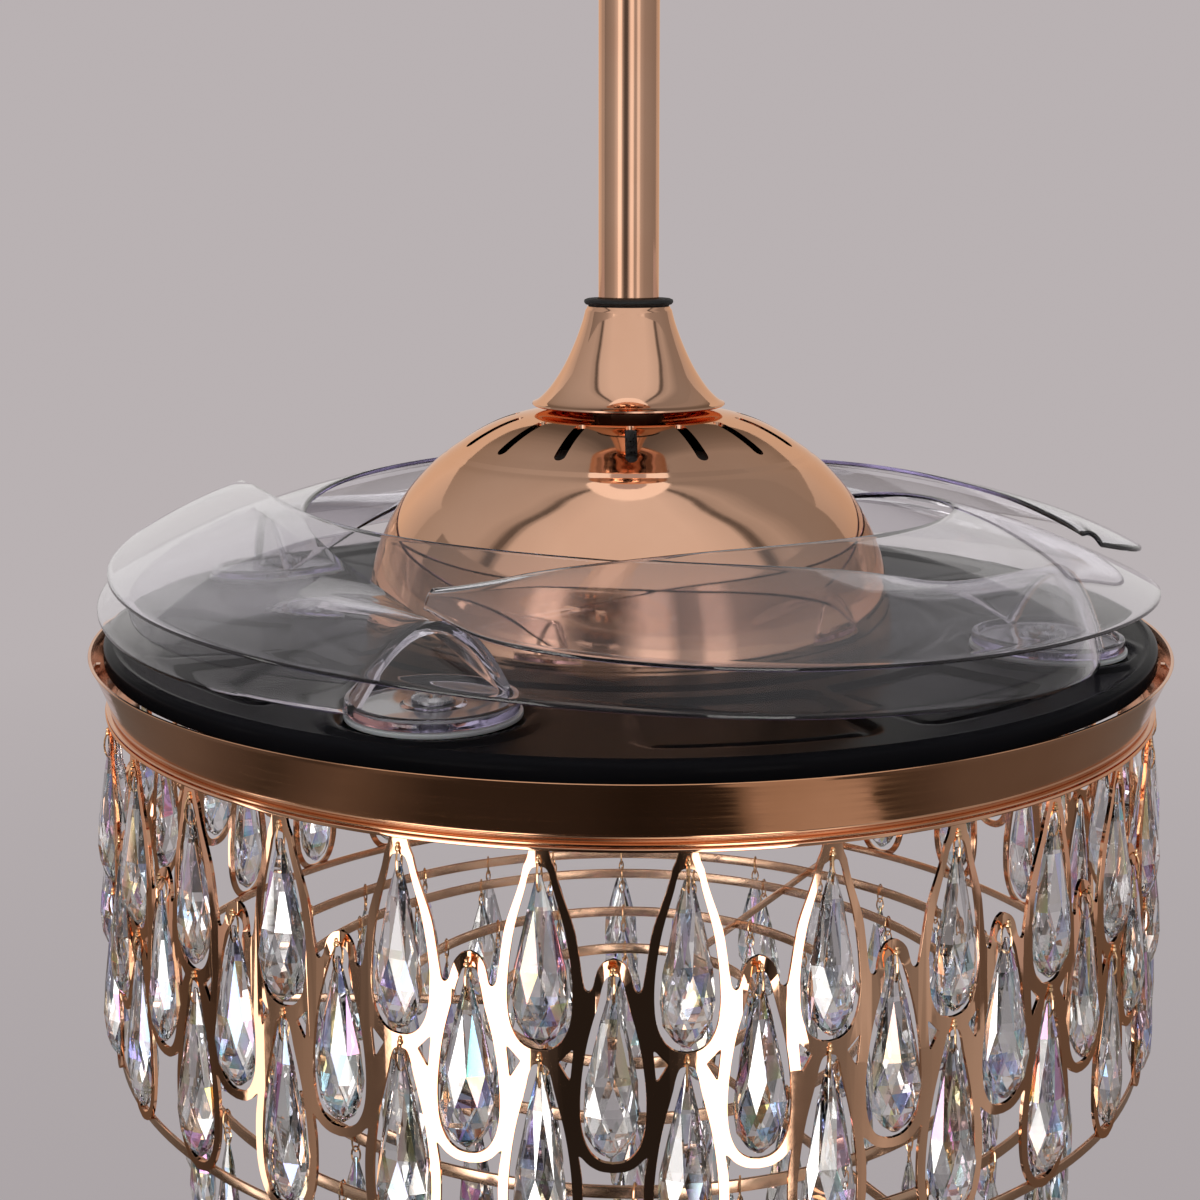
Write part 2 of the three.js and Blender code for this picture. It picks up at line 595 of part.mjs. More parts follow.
function bladeSheet() {
  const stations = 14;
  const columns = 3;
  const points = [];
  for (const side of [1, -1]) {
    for (let i = 0; i <= stations; i++) {
      for (let j = 0; j <= columns; j++) {
        const along = i / stations;
        const across = j / columns;
        const offset = sheetNormal(along, across).multiplyScalar((side * BLADE_THICKNESS) / 2);
        points.push(...sheetPoint(along, across).add(offset).toArray());
      }
    }
  }
  const layer = (stations + 1) * (columns + 1);
  const at = (side, i, j) => side * layer + i * (columns + 1) + j;
  const faces = [];
  const quad = (a, b, c, d) => faces.push(a, b, c, a, c, d);
  for (let i = 0; i < stations; i++) {
    for (let j = 0; j < columns; j++) {
      quad(at(0, i, j), at(0, i + 1, j), at(0, i + 1, j + 1), at(0, i, j + 1));
      quad(at(1, i, j), at(1, i, j + 1), at(1, i + 1, j + 1), at(1, i + 1, j));
    }
    quad(at(0, i, 0), at(1, i, 0), at(1, i + 1, 0), at(0, i + 1, 0));
    quad(at(0, i, columns), at(0, i + 1, columns), at(1, i + 1, columns), at(1, i, columns));
  }
  for (let j = 0; j < columns; j++) {
    quad(at(0, 0, j), at(0, 0, j + 1), at(1, 0, j + 1), at(1, 0, j));
    quad(at(0, stations, j), at(1, stations, j), at(1, stations, j + 1), at(0, stations, j + 1));
  }
  const geometry = new THREE.BufferGeometry();
  geometry.setAttribute('position', new THREE.Float32BufferAttribute(points, 3));
  geometry.setIndex(faces);
  return toSolid(geometry);
}

function blade() {
  const { x, y } = polar(pivotRadius, 0, 0);
  const root = disc(ROOT_DISC_RADIUS, rootFoot, rootHead, 18).translate(x, y, 0);
  const bore = disc(PIVOT_RADIUS_OF_SCREW + CLEARANCE, rootFoot - 1, rootHead + 1).translate(x, y, 0);
  return bladeSheet().add(root).subtract(bore);
}

function pivotScrew() {
  const nutHead = TRAY_TOP - TRAY_SHEET - CLEARANCE;
  const shoulder = TRAY_TOP + CLEARANCE;
  const headFoot = rootHead + CLEARANCE;
  const headTop = headFoot + PIVOT_HEAD_HEIGHT;
  const neck = PIVOT_RADIUS_OF_SCREW - 2;
  return turned([[0, nutHead - 5], [PIVOT_NUT_RADIUS, nutHead - 5], [PIVOT_NUT_RADIUS, nutHead],
    [neck, nutHead], [neck, shoulder], [PIVOT_RADIUS_OF_SCREW, shoulder], [PIVOT_RADIUS_OF_SCREW, headFoot],
    [PIVOT_HEAD_RADIUS, headFoot], [PIVOT_HEAD_RADIUS, headTop - 1], [PIVOT_HEAD_RADIUS - 1, headTop],
    [0, headTop]], 8);
}

function addTrayAndBlades() {
  place('blade_tray', bladeTray(), blackTray);
  const bladeSolid = blade();
  const washer = tube(PIVOT_RADIUS_OF_SCREW + CLEARANCE, ROOT_DISC_RADIUS + 1, washerFoot,
    washerFoot + WASHER_THICKNESS);
  const springHead = TRAY_TOP - TRAY_SHEET - CLEARANCE;
  const spring = tube(PIVOT_NUT_RADIUS + CLEARANCE, SPRING_RADIUS, springHead - 4.5, springHead, 8);
  for (let i = 0; i < BLADE_COUNT; i++) {
    const azimuth = pivotAzimuth(i);
    const { x, y } = polar(pivotRadius, azimuth, 0);
    const number = i + 1;
    place(`blade_${number}`, moved(bladeSolid, turnedTo(azimuth)), clearPlastic);
    place(`pivot_washer_${number}`, washer, whiteNylon).position.set(x, y, 0);
    place(`pivot_screw_${number}`, pivotScrew(), steel).position.set(x, y, 0);
    place(`return_spring_${number}`, spring, steel).position.set(x, y, 0);
  }
}

// ---------------------------------------------------------------- light: ring, spider and cage

const ringLip = RING_FOOT + SHEET;

function flaredRing() {
  const inside = ringFootRadius - SHEET;
  const flangeRadius = CAGE_RADIUS - RING_FLANGE;
  const flareStart = SHEET; // out from the foot, at the bend
  return turned([[ringTopRadius, 0], [ringFootRadius + flareStart, RING_BEND], [ringFootRadius, ringLip],
    [CAGE_RADIUS, ringLip], [CAGE_RADIUS, RING_FOOT], [flangeRadius, RING_FOOT],
    [flangeRadius, ringLip], [inside, ringLip], [inside + flareStart, RING_BEND],
    [ringTopRadius - SHEET, 0]], LARGE_SEGMENTS);
}

const spiderFoot = ringLip + CLEARANCE;
const spiderHead = spiderFoot + SPIDER_THICKNESS;

function lightSpider() {
  const armEnd = ringFootRadius - SHEET - 2;
  const hub = disc(SPIDER_HUB_RADIUS, spiderFoot, spiderHead, MIDDLE_SEGMENTS);
  const solids = [hub, disc(20, spiderFoot, spiderHead + 5)];
  for (let i = 0; i < SPIDER_ARMS; i++) {
    const arm = block([armEnd - 30, SPIDER_ARM_WIDTH, SPIDER_THICKNESS],
      [30 + (armEnd - 30) / 2, 0, (spiderFoot + spiderHead) / 2]);
    solids.push(moved(arm, pointedTo(30 + (360 / SPIDER_ARMS) * i)));
  }
  return united(solids).subtract(disc(coreBore, spiderFoot - 1, spiderHead + 10));
}

// Half an opening of the cage, as shares of its half width and its height, from top to bottom.
const dropProfile = [[0, 0], [0.9, 0.45], [0.92, 0.84], [0, 1]];

// A flat cutter, thicker than the cage's sheet, from the right half of an outline that is the same
// on both sides of x = middle.
function flatCutter(middle, rightHalf) {
  const mirrored = rightHalf.filter(([x]) => x > 0).reverse().map(([x, y]) => [-x, y]);
  const shape = new THREE.Shape();
  for (const [i, [x, y]] of [...rightHalf, ...mirrored].entries()) {
    if (i === 0) shape.moveTo(middle + x, y);
    else shape.lineTo(middle + x, y);
  }
  const cutter = new THREE.ExtrudeGeometry(shape, { depth: 3 * CAGE_SHEET, bevelEnabled: false });
  return toSolid(cutter.translate(0, 0, -CAGE_SHEET));
}

const dropCutter = (middle, row) =>
  flatCutter(middle, dropProfile.map(([share, down]) =>
    [(share * OPENING_WIDTH) / 2, ROW_TOPS[row] - down * ROW_HEIGHTS[row]]));

// One column of the cage laid flat, x along the wall and y up, from the middle of one first-row
// opening to the middle of the next, then bent to the cage's radius and repeated. The faces on the
// two cuts are left out, so that the columns join up into one ring.
function cage() {
  const pitch = (2 * Math.PI * CAGE_RADIUS) / CAGE_COLUMNS;
  const half = pitch / 2;
  const side = OPENING_WIDTH / 2 + BAR;
  const cageFoot = ROW_TOPS[2] - ROW_HEIGHTS[2] - BAR;
  const secondFoot = ROW_TOPS[1] - ROW_HEIGHTS[1];
  const middle = (HOOP_TOP + cageFoot) / 2;
  const sheet = block([pitch, HOOP_TOP - cageFoot, CAGE_SHEET], [0, middle, CAGE_SHEET / 2]);
  const aboveSecondRow = flatCutter(0, [[0, ROW_TOPS[1] + BAR], [6, ROW_TOPS[1] + 1.6],
    [half - side - 0.6, ROW_TOPS[1] - 5], [half - 9.7, ROW_TOPS[0] - 18], [half - 6.5, HOOP_FOOT]]);
  const belowSecondRow = flatCutter(0, [[0, secondFoot - BAR], [7.5, secondFoot - 0.5],
    [half - 11.7, secondFoot + 7.5], [half - side + 0.4, ROW_TOPS[2] - 0.72 * ROW_HEIGHTS[2]],
    [half - 7.5, cageFoot + BAR], [half - 2.5, cageFoot - 1]]);
  const cutters = [aboveSecondRow, belowSecondRow, dropCutter(0, 1)];
  for (const row of [0, 2]) cutters.push(dropCutter(-half, row), dropCutter(half, row));
  const mesh = sheet.subtract(united(cutters)).getMesh();
  const corner = (index) => {
    const start = mesh.triVerts[index] * mesh.numProp;
    return Array.from(mesh.vertProperties.slice(start, start + 3));
  };
  const points = [];
  for (let i = 0; i < mesh.triVerts.length; i += 3) {
    const triangle = [corner(i), corner(i + 1), corner(i + 2)];
    const onCut = (sign) => triangle.every(([x]) => Math.abs(x - sign * half) < 1e-3);
    if (onCut(1) || onCut(-1)) continue;
    points.push(...triangle);
  }
  const ring = [];
  for (let i = 0; i < CAGE_COLUMNS; i++) {
    for (const [x, y, depth] of points) {
      const azimuth = CAGE_TURN + ((x / pitch + i) * 360) / CAGE_COLUMNS;
      ring.push(...polar(CAGE_RADIUS - CAGE_SHEET + depth, azimuth, y).toArray());
    }
  }
  const geometry = new THREE.BufferGeometry();
  geometry.setAttribute('position', new THREE.Float32BufferAttribute(ring, 3));
  return toSolid(geometry);
}

// ---------------------------------------------------------------- crystals

// A closed ring of hanging crystals: each is an eight-sided drop, widest at DROP_WAIST of its length,
// and a thin wire runs from the side of one to the side of the next.
function crystalRing({ count, firstAzimuth, radius, wireRadius, top, length, width, thickness }) {
  const waist = top - DROP_WAIST * length;
  const half = THREE.MathUtils.radToDeg(Math.asin(width / 2 / radius));
  const wire = WIRE_RADIUS;
  const points = [];
  for (let i = 0; i < count; i++) {
    const azimuth = firstAzimuth + (360 / count) * i;
    for (const side of [-1, 0, 1]) {
      const section = side === 0
        ? [[radius, top], [radius + thickness / 2, waist], [radius, top - length],
          [radius - thickness / 2, waist]]
        : [[wireRadius, waist + wire], [wireRadius + wire, waist], [wireRadius, waist - wire],
          [wireRadius - wire, waist]];
      for (const [r, height] of section) points.push(...polar(r, azimuth + side * half, height).toArray());
    }
  }
  const stations = 3 * count;
  const faces = [];
  for (let i = 0; i < stations; i++) {
    for (let j = 0; j < 4; j++) {
      const [a, b] = [4 * i + j, 4 * i + ((j + 1) % 4)];
      const [c, d] = [4 * ((i + 1) % stations) + ((j + 1) % 4), 4 * ((i + 1) % stations) + j];
      faces.push(a, b, c, a, c, d);
    }
  }
  const geometry = new THREE.BufferGeometry();
  geometry.setAttribute('position', new THREE.Float32BufferAttribute(points, 3));
  geometry.setIndex(faces);
  return toSolid(geometry);
}

// The crystals in one row of openings. Their wire runs just behind the cage's bars.
function crystalRow(row) {
  return crystalRing({
    count: CAGE_COLUMNS,
    firstAzimuth: CAGE_TURN + (row === 1 ? 0 : 180 / CAGE_COLUMNS),
    radius: CAGE_RADIUS - CAGE_SHEET / 2,
    wireRadius: CAGE_RADIUS - CAGE_SHEET - WIRE_RADIUS - 2 * CLEARANCE,
    top: ROW_TOPS[row] - CRYSTAL_GAP,
    length: ROW_HEIGHTS[row] - CRYSTAL_GAP - 2,
    width: CRYSTAL_WIDTH,
    thickness: CRYSTAL_THICKNESS,
  });
}

// The concentric flat strips at the foot of the cage, on their spokes. The outer strip has its corners
// behind the feet of the cage.
function tierFrame() {
  const foot = TIER_HEIGHT - TIER_STRIP_HEIGHT / 2;
  const head = TIER_HEIGHT + TIER_STRIP_HEIGHT / 2;
  const outerStrip = CAGE_RADIUS - CAGE_SHEET - CLEARANCE;
  const hoopHead = head + TIER_HOOP_LAP;
  const hoop = tube(outerStrip - TIER_STRIP_THICKNESS, outerStrip, hoopHead - TIER_HOOP_HEIGHT, hoopHead,
    CAGE_COLUMNS);
  const solids = [moved(hoop, turnedTo(CAGE_TURN + 180 / CAGE_COLUMNS))];
  for (const radius of TIER_RADII) {
    solids.push(tube(radius - TIER_STRIP_THICKNESS, radius, foot, head, MIDDLE_SEGMENTS));
  }
  const innermost = TIER_RADII[0] - TIER_STRIP_THICKNESS / 2;
  const outermost = (outerStrip - TIER_STRIP_THICKNESS / 2) * Math.cos(Math.PI / CAGE_COLUMNS);
  const spokeFoot = TIER_HEIGHT - (TIER_STRIP_HEIGHT - 1) / 2;
  for (let i = 0; i < SPOKE_COUNT; i++) {
    const spoke = block([outermost - innermost, TIER_STRIP_THICKNESS, TIER_STRIP_HEIGHT - 1],
      [(outermost + innermost) / 2, 0, TIER_HEIGHT]);
    const tab = block([2 * TIER_STRIP_THICKNESS, TIER_TAB, hoopHead - spokeFoot],
      [outermost, 0, (hoopHead + spokeFoot) / 2]);
    solids.push(moved(spoke.add(tab), pointedTo(SPOKE_AZIMUTH + (360 / SPOKE_COUNT) * i)));
  }
  return united(solids);
}

// The crystals under one strip, each drawn out to the strip where its wire pin is.
function crystalTier(index) {
  const radius = TIER_RADII[index] - TIER_STRIP_THICKNESS / 2;
  return crystalRing({
    count: TIER_CRYSTALS[index],
    firstAzimuth: 0,
    radius,
    wireRadius: radius,
    top: TIER_HEIGHT - TIER_STRIP_HEIGHT / 2 - CLEARANCE,
    length: TIER_PIN + TIER_CRYSTAL_LENGTH,
    width: CRYSTAL_WIDTH,
    thickness: CRYSTAL_THICKNESS - 1,
  });
}

// ---------------------------------------------------------------- light source

function addLight() {
  place('flared_ring', flaredRing(), roseGold);
  place('light_spider', lightSpider(), zincSteel);
  const nutHead = spiderFoot - CLEARANCE;
  const nut = disc(14, nutHead - 6, nutHead, 6).subtract(disc(coreBore, nutHead - 7, nutHead + 1));
  place('light_nut', nut, steel);
  place('cage', cage(), roseGold);
  for (let row = 0; row < ROW_TOPS.length; row++) {
    place(`crystal_row_${row + 1}`, crystalRow(row), crystalGlass);
  }
  place('tier_frame', tierFrame(), roseGold);
  for (let index = 0; index < TIER_RADII.length; index++) {
    place(`crystal_tier_${index + 1}`, crystalTier(index), crystalGlass);
  }
  const boxTop = spiderFoot - CLEARANCE;
  const [length, width, height] = DRIVER_BOX;
  place('led_driver', block(DRIVER_BOX, [0, 20 + width / 2, boxTop - height / 2]), circuitWhite);
  const boardTop = boxTop - height - CLEARANCE;
  place('led_board', disc(LED_RADIUS, boardTop - LED_THICKNESS, boardTop, MIDDLE_SEGMENTS), circuitWhite);
  const rimTop = boardTop - LED_THICKNESS - CLEARANCE;
  const rimFoot = rimTop - DIFFUSER_DEPTH;
  const bowl = turned([[0, rimFoot], [0.6 * LED_RADIUS, rimFoot + 2], [0.9 * LED_RADIUS, rimTop - 6],
    [LED_RADIUS, rimTop], [LED_RADIUS - 2.5, rimTop], [0.87 * LED_RADIUS, rimTop - 4.5],
    [0.6 * LED_RADIUS, rimFoot + 4], [0, rimFoot + 2]], MIDDLE_SEGMENTS);
  place('light_diffuser', bowl, opalAcrylic);
}

addHanger();
addCoupling();
addMotor();
addTrayAndBlades();
addLight();

export default part;
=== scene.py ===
"""Looks of the retractable blade ceiling fan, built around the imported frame.

Pieces are worked out in millimetres with heights from the rim of the flared ring, as in the part's
source, and turned into metres when they become meshes. Azimuths are degrees: 0 front (-Y), 90 right (+X).
"""

import math

import bmesh
import bpy
import numpy as np
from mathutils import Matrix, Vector


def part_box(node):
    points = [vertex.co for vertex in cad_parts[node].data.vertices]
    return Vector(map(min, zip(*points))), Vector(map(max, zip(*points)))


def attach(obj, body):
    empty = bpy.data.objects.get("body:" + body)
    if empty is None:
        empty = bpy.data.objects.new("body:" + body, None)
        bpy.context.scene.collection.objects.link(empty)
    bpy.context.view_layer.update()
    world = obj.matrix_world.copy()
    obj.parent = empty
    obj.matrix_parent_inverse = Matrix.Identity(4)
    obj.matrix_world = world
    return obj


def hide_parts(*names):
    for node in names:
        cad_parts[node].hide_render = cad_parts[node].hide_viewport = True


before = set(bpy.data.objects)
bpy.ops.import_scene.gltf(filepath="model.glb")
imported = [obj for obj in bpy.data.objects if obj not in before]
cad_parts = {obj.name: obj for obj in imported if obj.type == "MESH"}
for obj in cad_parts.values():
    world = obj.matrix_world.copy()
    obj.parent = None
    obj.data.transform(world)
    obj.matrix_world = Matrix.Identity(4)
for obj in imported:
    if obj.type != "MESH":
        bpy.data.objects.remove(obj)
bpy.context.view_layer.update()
scene = bpy.context.scene
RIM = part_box("flared_ring")[1].z
METRES = 0.001

# ---- sizes, as in the part's source

CEILING = 360.0
BALL_RADIUS = 26.0
BALL_HEIGHT = 326.0
ROD_RADIUS = 13.35
ROD_FOOT, ROD_HEAD = 104.3, 343.0
TRAY_TOP = 5.0
PIVOT_RADIUS = 185.0
PIVOTS = [-23.0 + 90.0 * i for i in range(4)]
CAGE_RADIUS = 227.6
CAGE_SHEET = 1.3
CAGE_COLUMNS = 29
CAGE_TURN = -2.2
HOOP_TOP = -23.8
HOOP_FOOT = HOOP_TOP - 1.4
ROW_TOPS = [-30.5, -68.0, -98.5]
ROW_HEIGHTS = [63.5, 64.5, 70.0]
BAR = 3.3
TIER_HEIGHT = -178.0
TIER_RADII = [62.0, 110.0, 165.0, 196.0]
TIER_CRYSTALS = [10, 20, 26, 32]
SPOKES = [148.3, 268.3, 28.3]
STRIP_SHEET, STRIP_HALF = 1.2, 2.5

# ---- points and meshes


def polar(radius, azimuth, height):
    """Points at radii, azimuths and heights, which may be arrays."""
    radius, azimuth, height = np.broadcast_arrays(radius, np.radians(azimuth), height)
    return np.stack([radius * np.sin(azimuth), -radius * np.cos(azimuth), height], -1)


def at_wall(shape, azimuth, radius):
    """Points and faces given as x along a round wall, y outwards from it and z up, put at that wall."""
    local, faces = shape
    a = math.radians(azimuth)
    out = np.array([math.sin(a), -math.cos(a)])
    along = np.array([math.cos(a), math.sin(a)])
    flat = local[:, :1] * along + (radius + local[:, 1:2]) * out
    return np.hstack([flat, local[:, 2:]]), faces


def curve_at(points, shares):
    """Points on a centripetal Catmull-Rom curve at shares of its spans."""
    p = np.asarray(points, float)
    p = np.vstack([2 * p[0] - p[1], p, 2 * p[-1] - p[-2]])
    s = np.clip(np.atleast_1d(shares), 0, 1) * (len(p) - 3)
    i = np.minimum(s.astype(int), len(p) - 4)
    w = (s - i)[:, None]
    a, b, c, d = p[i], p[i + 1], p[i + 2], p[i + 3]

    def span(u, v):
        return np.sqrt(np.linalg.norm(v - u, axis=1))[:, None]

    k0, k1, k2 = span(a, b), span(b, c), span(c, d)
    t1 = ((b - a) / k0 - (c - a) / (k0 + k1) + (c - b) / k1) * k1
    t2 = ((c - b) / k1 - (d - b) / (k1 + k2) + (d - c) / k2) * k1
    square = -3 * b + 3 * c - 2 * t1 - t2
    cube = 2 * b - 2 * c + t1 + t2
    return b + t1 * w + square * w**2 + cube * w**3


def spline(points, per_span=8):
    return curve_at(points, np.linspace(0, 1, (len(points) - 1) * per_span + 1))


def rounded(corners, radius, steps=4):
    """A closed outline with each corner rounded. A corner may carry its own radius as a third number."""
    n, out = len(corners), []
    for i, corner in enumerate(corners):
        here = np.array(corner[:2], float)
        back = np.array(corners[i - 1][:2], float) - here
        ahead = np.array(corners[(i + 1) % n][:2], float) - here
        lengths = np.linalg.norm(back), np.linalg.norm(ahead)
        want = corner[2] if len(corner) > 2 else radius
        back, ahead = back / lengths[0], ahead / lengths[1]
        half = math.acos(max(-1.0, min(1.0, float(back @ ahead)))) / 2
        if want <= 0 or half > 1.55:
            out.append(here)
            continue
        cut = min(want / math.tan(half), 0.45 * min(lengths))
        start, end = here + back * cut, here + ahead * cut
        for k in range(steps + 1):
            t = k / steps
            out.append((1 - t) ** 2 * start + 2 * t * (1 - t) * here + t * t * end)
    return np.array(out)


def sheet_profile(line, thickness):
    """The closed outline of a spun sheet whose outside is line, from foot to head. Its edges are round. The
    middles of both edges are set off along the foot's normal, which curls the head's edge a little."""
    step = np.gradient(line, axis=0)
    step /= np.linalg.norm(step, axis=1)[:, None]
    normal = np.stack([step[:, 1], -step[:, 0]], -1)
    half, angles = thickness / 2, np.linspace(0, math.pi, 6)[1:-1, None]
    head, foot = [
        end - half * normal[0] + half * (np.cos(angles) * n + np.sin(angles) * t)
        for end, n, t in ((line[-1], normal[-1], step[-1]), (line[0], -normal[0], -step[0]))
    ]
    return np.vstack([line, head, (line - thickness * normal)[::-1], foot])


def grid_faces(rows, columns, wrap_rows=False, wrap_columns=False):
    """Quads between the points of a grid that is stored row by row."""
    i = np.arange(rows if wrap_rows else rows - 1)
    j = np.arange(columns if wrap_columns else columns - 1)
    i, j = [g.ravel() for g in np.meshgrid(i, j, indexing="ij")]
    up, right = (i + 1) % rows, (j + 1) % columns
    quads = [i * columns + j, i * columns + right, up * columns + right, up * columns + j]
    return np.stack(quads, -1).tolist()


def lathe(profile, segments=128, closed=True):
    """Points and faces of a profile of (radius, height) turned round the axis."""
    profile = np.asarray(profile, float)
    azimuths = np.arange(segments) * 360 / segments
    points = polar(profile[:, :1], azimuths[None, :], profile[:, 1:]).reshape(-1, 3)
    return points, grid_faces(len(profile), segments, closed, True)


def slab(outline, middle=0.0, near=-1.0, far=2.4):
    """A block over an upright outline of (x along a wall, height), from one distance outwards to another.
    Left as they are, the distances reach through the cage's sheet."""
    points = [np.column_stack([outline[:, 0] + middle, np.full(len(outline), y), outline[:, 1]])
              for y in (near, far)]
    return np.vstack(points), prism_faces(len(outline))


def prism_faces(n):
    """Faces between two outlines of n points, and over both."""
    sides = [[k, (k + 1) % n, n + (k + 1) % n, n + k] for k in range(n)]
    return sides + [list(range(n)), list(range(2 * n - 1, n - 1, -1))]


def joined(parts):
    """Several (points, faces) as one."""
    points, faces, start = [], [], 0
    for p, f in parts:
        points.append(p)
        faces += [[k + start for k in face] for face in f]
        start += len(p)
    return np.vstack(points), faces


def to_mesh(name, points, faces):
    mesh = bpy.data.meshes.new(name)
    points = np.asarray(points, float) * METRES
    points[:, 2] += RIM
    mesh.from_pydata(points.tolist(), [], faces)
    bm = bmesh.new()
    bm.from_mesh(mesh)
    bmesh.ops.remove_doubles(bm, verts=bm.verts, dist=1e-7)
    bmesh.ops.recalc_face_normals(bm, faces=bm.faces)
    bm.to_mesh(mesh)
    bm.free()
    return mesh


def points_of(mesh):
    """The points of a mesh in millimetres, with heights from the rim."""
    points = np.array([v.co for v in mesh.vertices]) * 1000
    points[:, 2] -= RIM * 1000
    return points


def shade(mesh, sharp):
    """Smooth shading with edges sharper than an angle left sharp, or flat faces if sharp is 0."""
    if sharp:
        mesh.shade_smooth()
        mesh.set_sharp_from_angle(angle=math.radians(sharp))
    else:
        mesh.shade_flat()


def linked(name, data):
    obj = bpy.data.objects.new(name, data)
    scene.collection.objects.link(obj)
    return obj


def dress(obj, material, body, replaces=()):
    obj.data.materials.clear()
    obj.data.materials.append(material)
    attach(obj, body)
    if replaces:
        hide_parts(*replaces)


def piece(name, shape, material, body, replaces=(), sharp=35.0):
    mesh = to_mesh(name, *shape)
    shade(mesh, sharp)
    dress(linked(name, mesh), material, body, replaces)


def boolean(obj, cutter, operation):
    """Applies a boolean to obj's own mesh and removes the cutter."""
    modifier = obj.modifiers.new("cut", "BOOLEAN")
    modifier.operation = operation
    modifier.solver = "EXACT"
    modifier.object = cutter
    bpy.context.view_layer.update()
    result = bpy.data.meshes.new_from_object(obj.evaluated_get(bpy.context.evaluated_depsgraph_get()))
    obj.modifiers.clear()
    obj.data = result
    bpy.data.objects.remove(cutter)


def turned(shape, azimuth):
    """Points and faces turned round the axis, from the front to an azimuth."""
    points, faces = shape
    a = math.radians(azimuth)
    turn = np.array([[math.cos(a), -math.sin(a), 0], [math.sin(a), math.cos(a), 0], [0, 0, 1]])
    return points @ turn.T, faces


def shifted(shape, offset):
    return shape[0] + np.array(offset, float), shape[1]


# ---- materials


def new_node(tree, kind, inputs=None, **settings):
    """A node with its settings, and with inputs that are linked to sockets or set to values."""
    made = tree.nodes.new(kind)
    for key, value in settings.items():
        setattr(made, key, value)
    for key, value in (inputs or {}).items():
        if isinstance(value, bpy.types.NodeSocket):
            tree.links.new(value, made.inputs[key])
        else:
            made.inputs[key].default_value = value
    return made


class Nodes:
    """A material's node tree with short calls for the nodes used here."""

    def __init__(self, name):
        self.material = bpy.data.materials.new(name)
        self.material.use_nodes = True
        self.tree = self.material.node_tree
        self.shader = self.tree.nodes["Principled BSDF"]
        self.coordinates = self.tree.nodes.new("ShaderNodeTexCoord").outputs["Object"]

    def node(self, kind, inputs=None, **settings):
        return new_node(self.tree, kind, inputs, **settings)

    def stretched(self, scale):
        return self.node("ShaderNodeMapping", {"Vector": self.coordinates, "Scale": scale}).outputs[0]

    def noise(self, scale, detail=3.0, roughness=0.55, stretch=(1, 1, 1)):
        vector = self.stretched(tuple(scale * s for s in stretch))
        inputs = {"Vector": vector, "Scale": 1.0, "Detail": detail, "Roughness": roughness}
        return self.node("ShaderNodeTexNoise", inputs).outputs["Fac"]

    def spread(self, value, low, high, start=0.3, end=0.7):
        inputs = {"Value": value, "From Min": start, "From Max": end, "To Min": low, "To Max": high}
        return self.node("ShaderNodeMapRange", inputs).outputs[0]

    def blend(self, factor, first, second):
        inputs = {0: factor}
        for k, colour in ((6, first), (7, second)):
            inputs[k] = colour if isinstance(colour, bpy.types.NodeSocket) else (*colour, 1)
        return self.node("ShaderNodeMix", inputs, data_type="RGBA").outputs[2]

    def feed(self, socket, value):
        self.tree.links.new(value, self.shader.inputs[socket])

    def bump(self, height, distance):
        inputs = {"Height": height, "Distance": distance, "Strength": 1.0}
        self.feed("Normal", self.node("ShaderNodeBump", inputs).outputs[0])

    def finish_with(self, value, socket="Surface"):
        self.tree.links.new(value, self.tree.nodes["Material Output"].inputs[socket])

    def set(self, **sockets):
        for key, value in sockets.items():
            socket = self.shader.inputs[key.replace("_", " ")]
            socket.default_value = (*value, 1) if isinstance(value, tuple) else value


def finish(name, light, dark, metallic, roughness, grain, depth, mottle=12.0, **sockets):
    """A material whose colour lies between two colours in soft patches, whose roughness varies over a
    range, and whose surface has a fine grain: its scale per metre, for each axis or for all, and its depth
    in metres."""
    n = Nodes(name)
    n.set(Metallic=metallic, **sockets)
    patches = n.noise(mottle, 4.0)
    fine = n.noise(1.0, 4.0, 0.6, grain if isinstance(grain, tuple) else (grain,) * 3)
    n.feed("Base Color", n.blend(n.spread(patches, 0, 1), dark, light))
    n.feed("Roughness", n.spread(fine, *roughness))
    n.bump(fine, depth)
    return n.material


ROSE = (0.88, 0.545, 0.385)
ROSE_DEEP = (0.80, 0.465, 0.315)
GRAZING = (0.94, 0.72, 0.56)

rose_polished = finish("rose_gold_polished", ROSE, ROSE_DEEP, 1.0, (0.035, 0.075), 260, 6e-6,
                       Specular_Tint=GRAZING)
rose_rod = finish("rose_gold_rod", ROSE, ROSE_DEEP, 1.0, (0.05, 0.11), (420, 420, 24), 8e-6,
                  Specular_Tint=GRAZING)
rose_ring = finish("rose_gold_brushed", (0.80, 0.44, 0.27), (0.66, 0.34, 0.19), 1.0, (0.05, 0.2),
                   (6, 6, 900), 1.2e-5)
rose_strip = finish("rose_gold_satin", (0.90, 0.60, 0.42), (0.82, 0.51, 0.34), 1.0, (0.14, 0.26),
                    (60, 60, 300), 1e-5)
rose_cage = finish("rose_gold_cage", (0.90, 0.53, 0.35), (0.80, 0.44, 0.27), 1.0, (0.03, 0.07), 150, 8e-6,
                   Specular_Tint=GRAZING)
gold_wire = finish("gold_wire", (0.90, 0.60, 0.36), (0.78, 0.46, 0.24), 1.0, (0.08, 0.16), 900, 1e-5)
black_satin = finish("black_tray", (0.010, 0.010, 0.012), (0.007, 0.007, 0.008), 0.0, (0.14, 0.24), 1500,
                     8e-6, Specular_IOR_Level=0.014)
rubber = finish("black_rubber", (0.014, 0.014, 0.015), (0.008, 0.008, 0.009), 0.0, (0.55, 0.75), 1200, 2e-5)
nylon = finish("white_nylon", (0.80, 0.80, 0.79), (0.72, 0.72, 0.71), 0.0, (0.32, 0.45), 900, 8e-6,
               Subsurface_Weight=0.1)
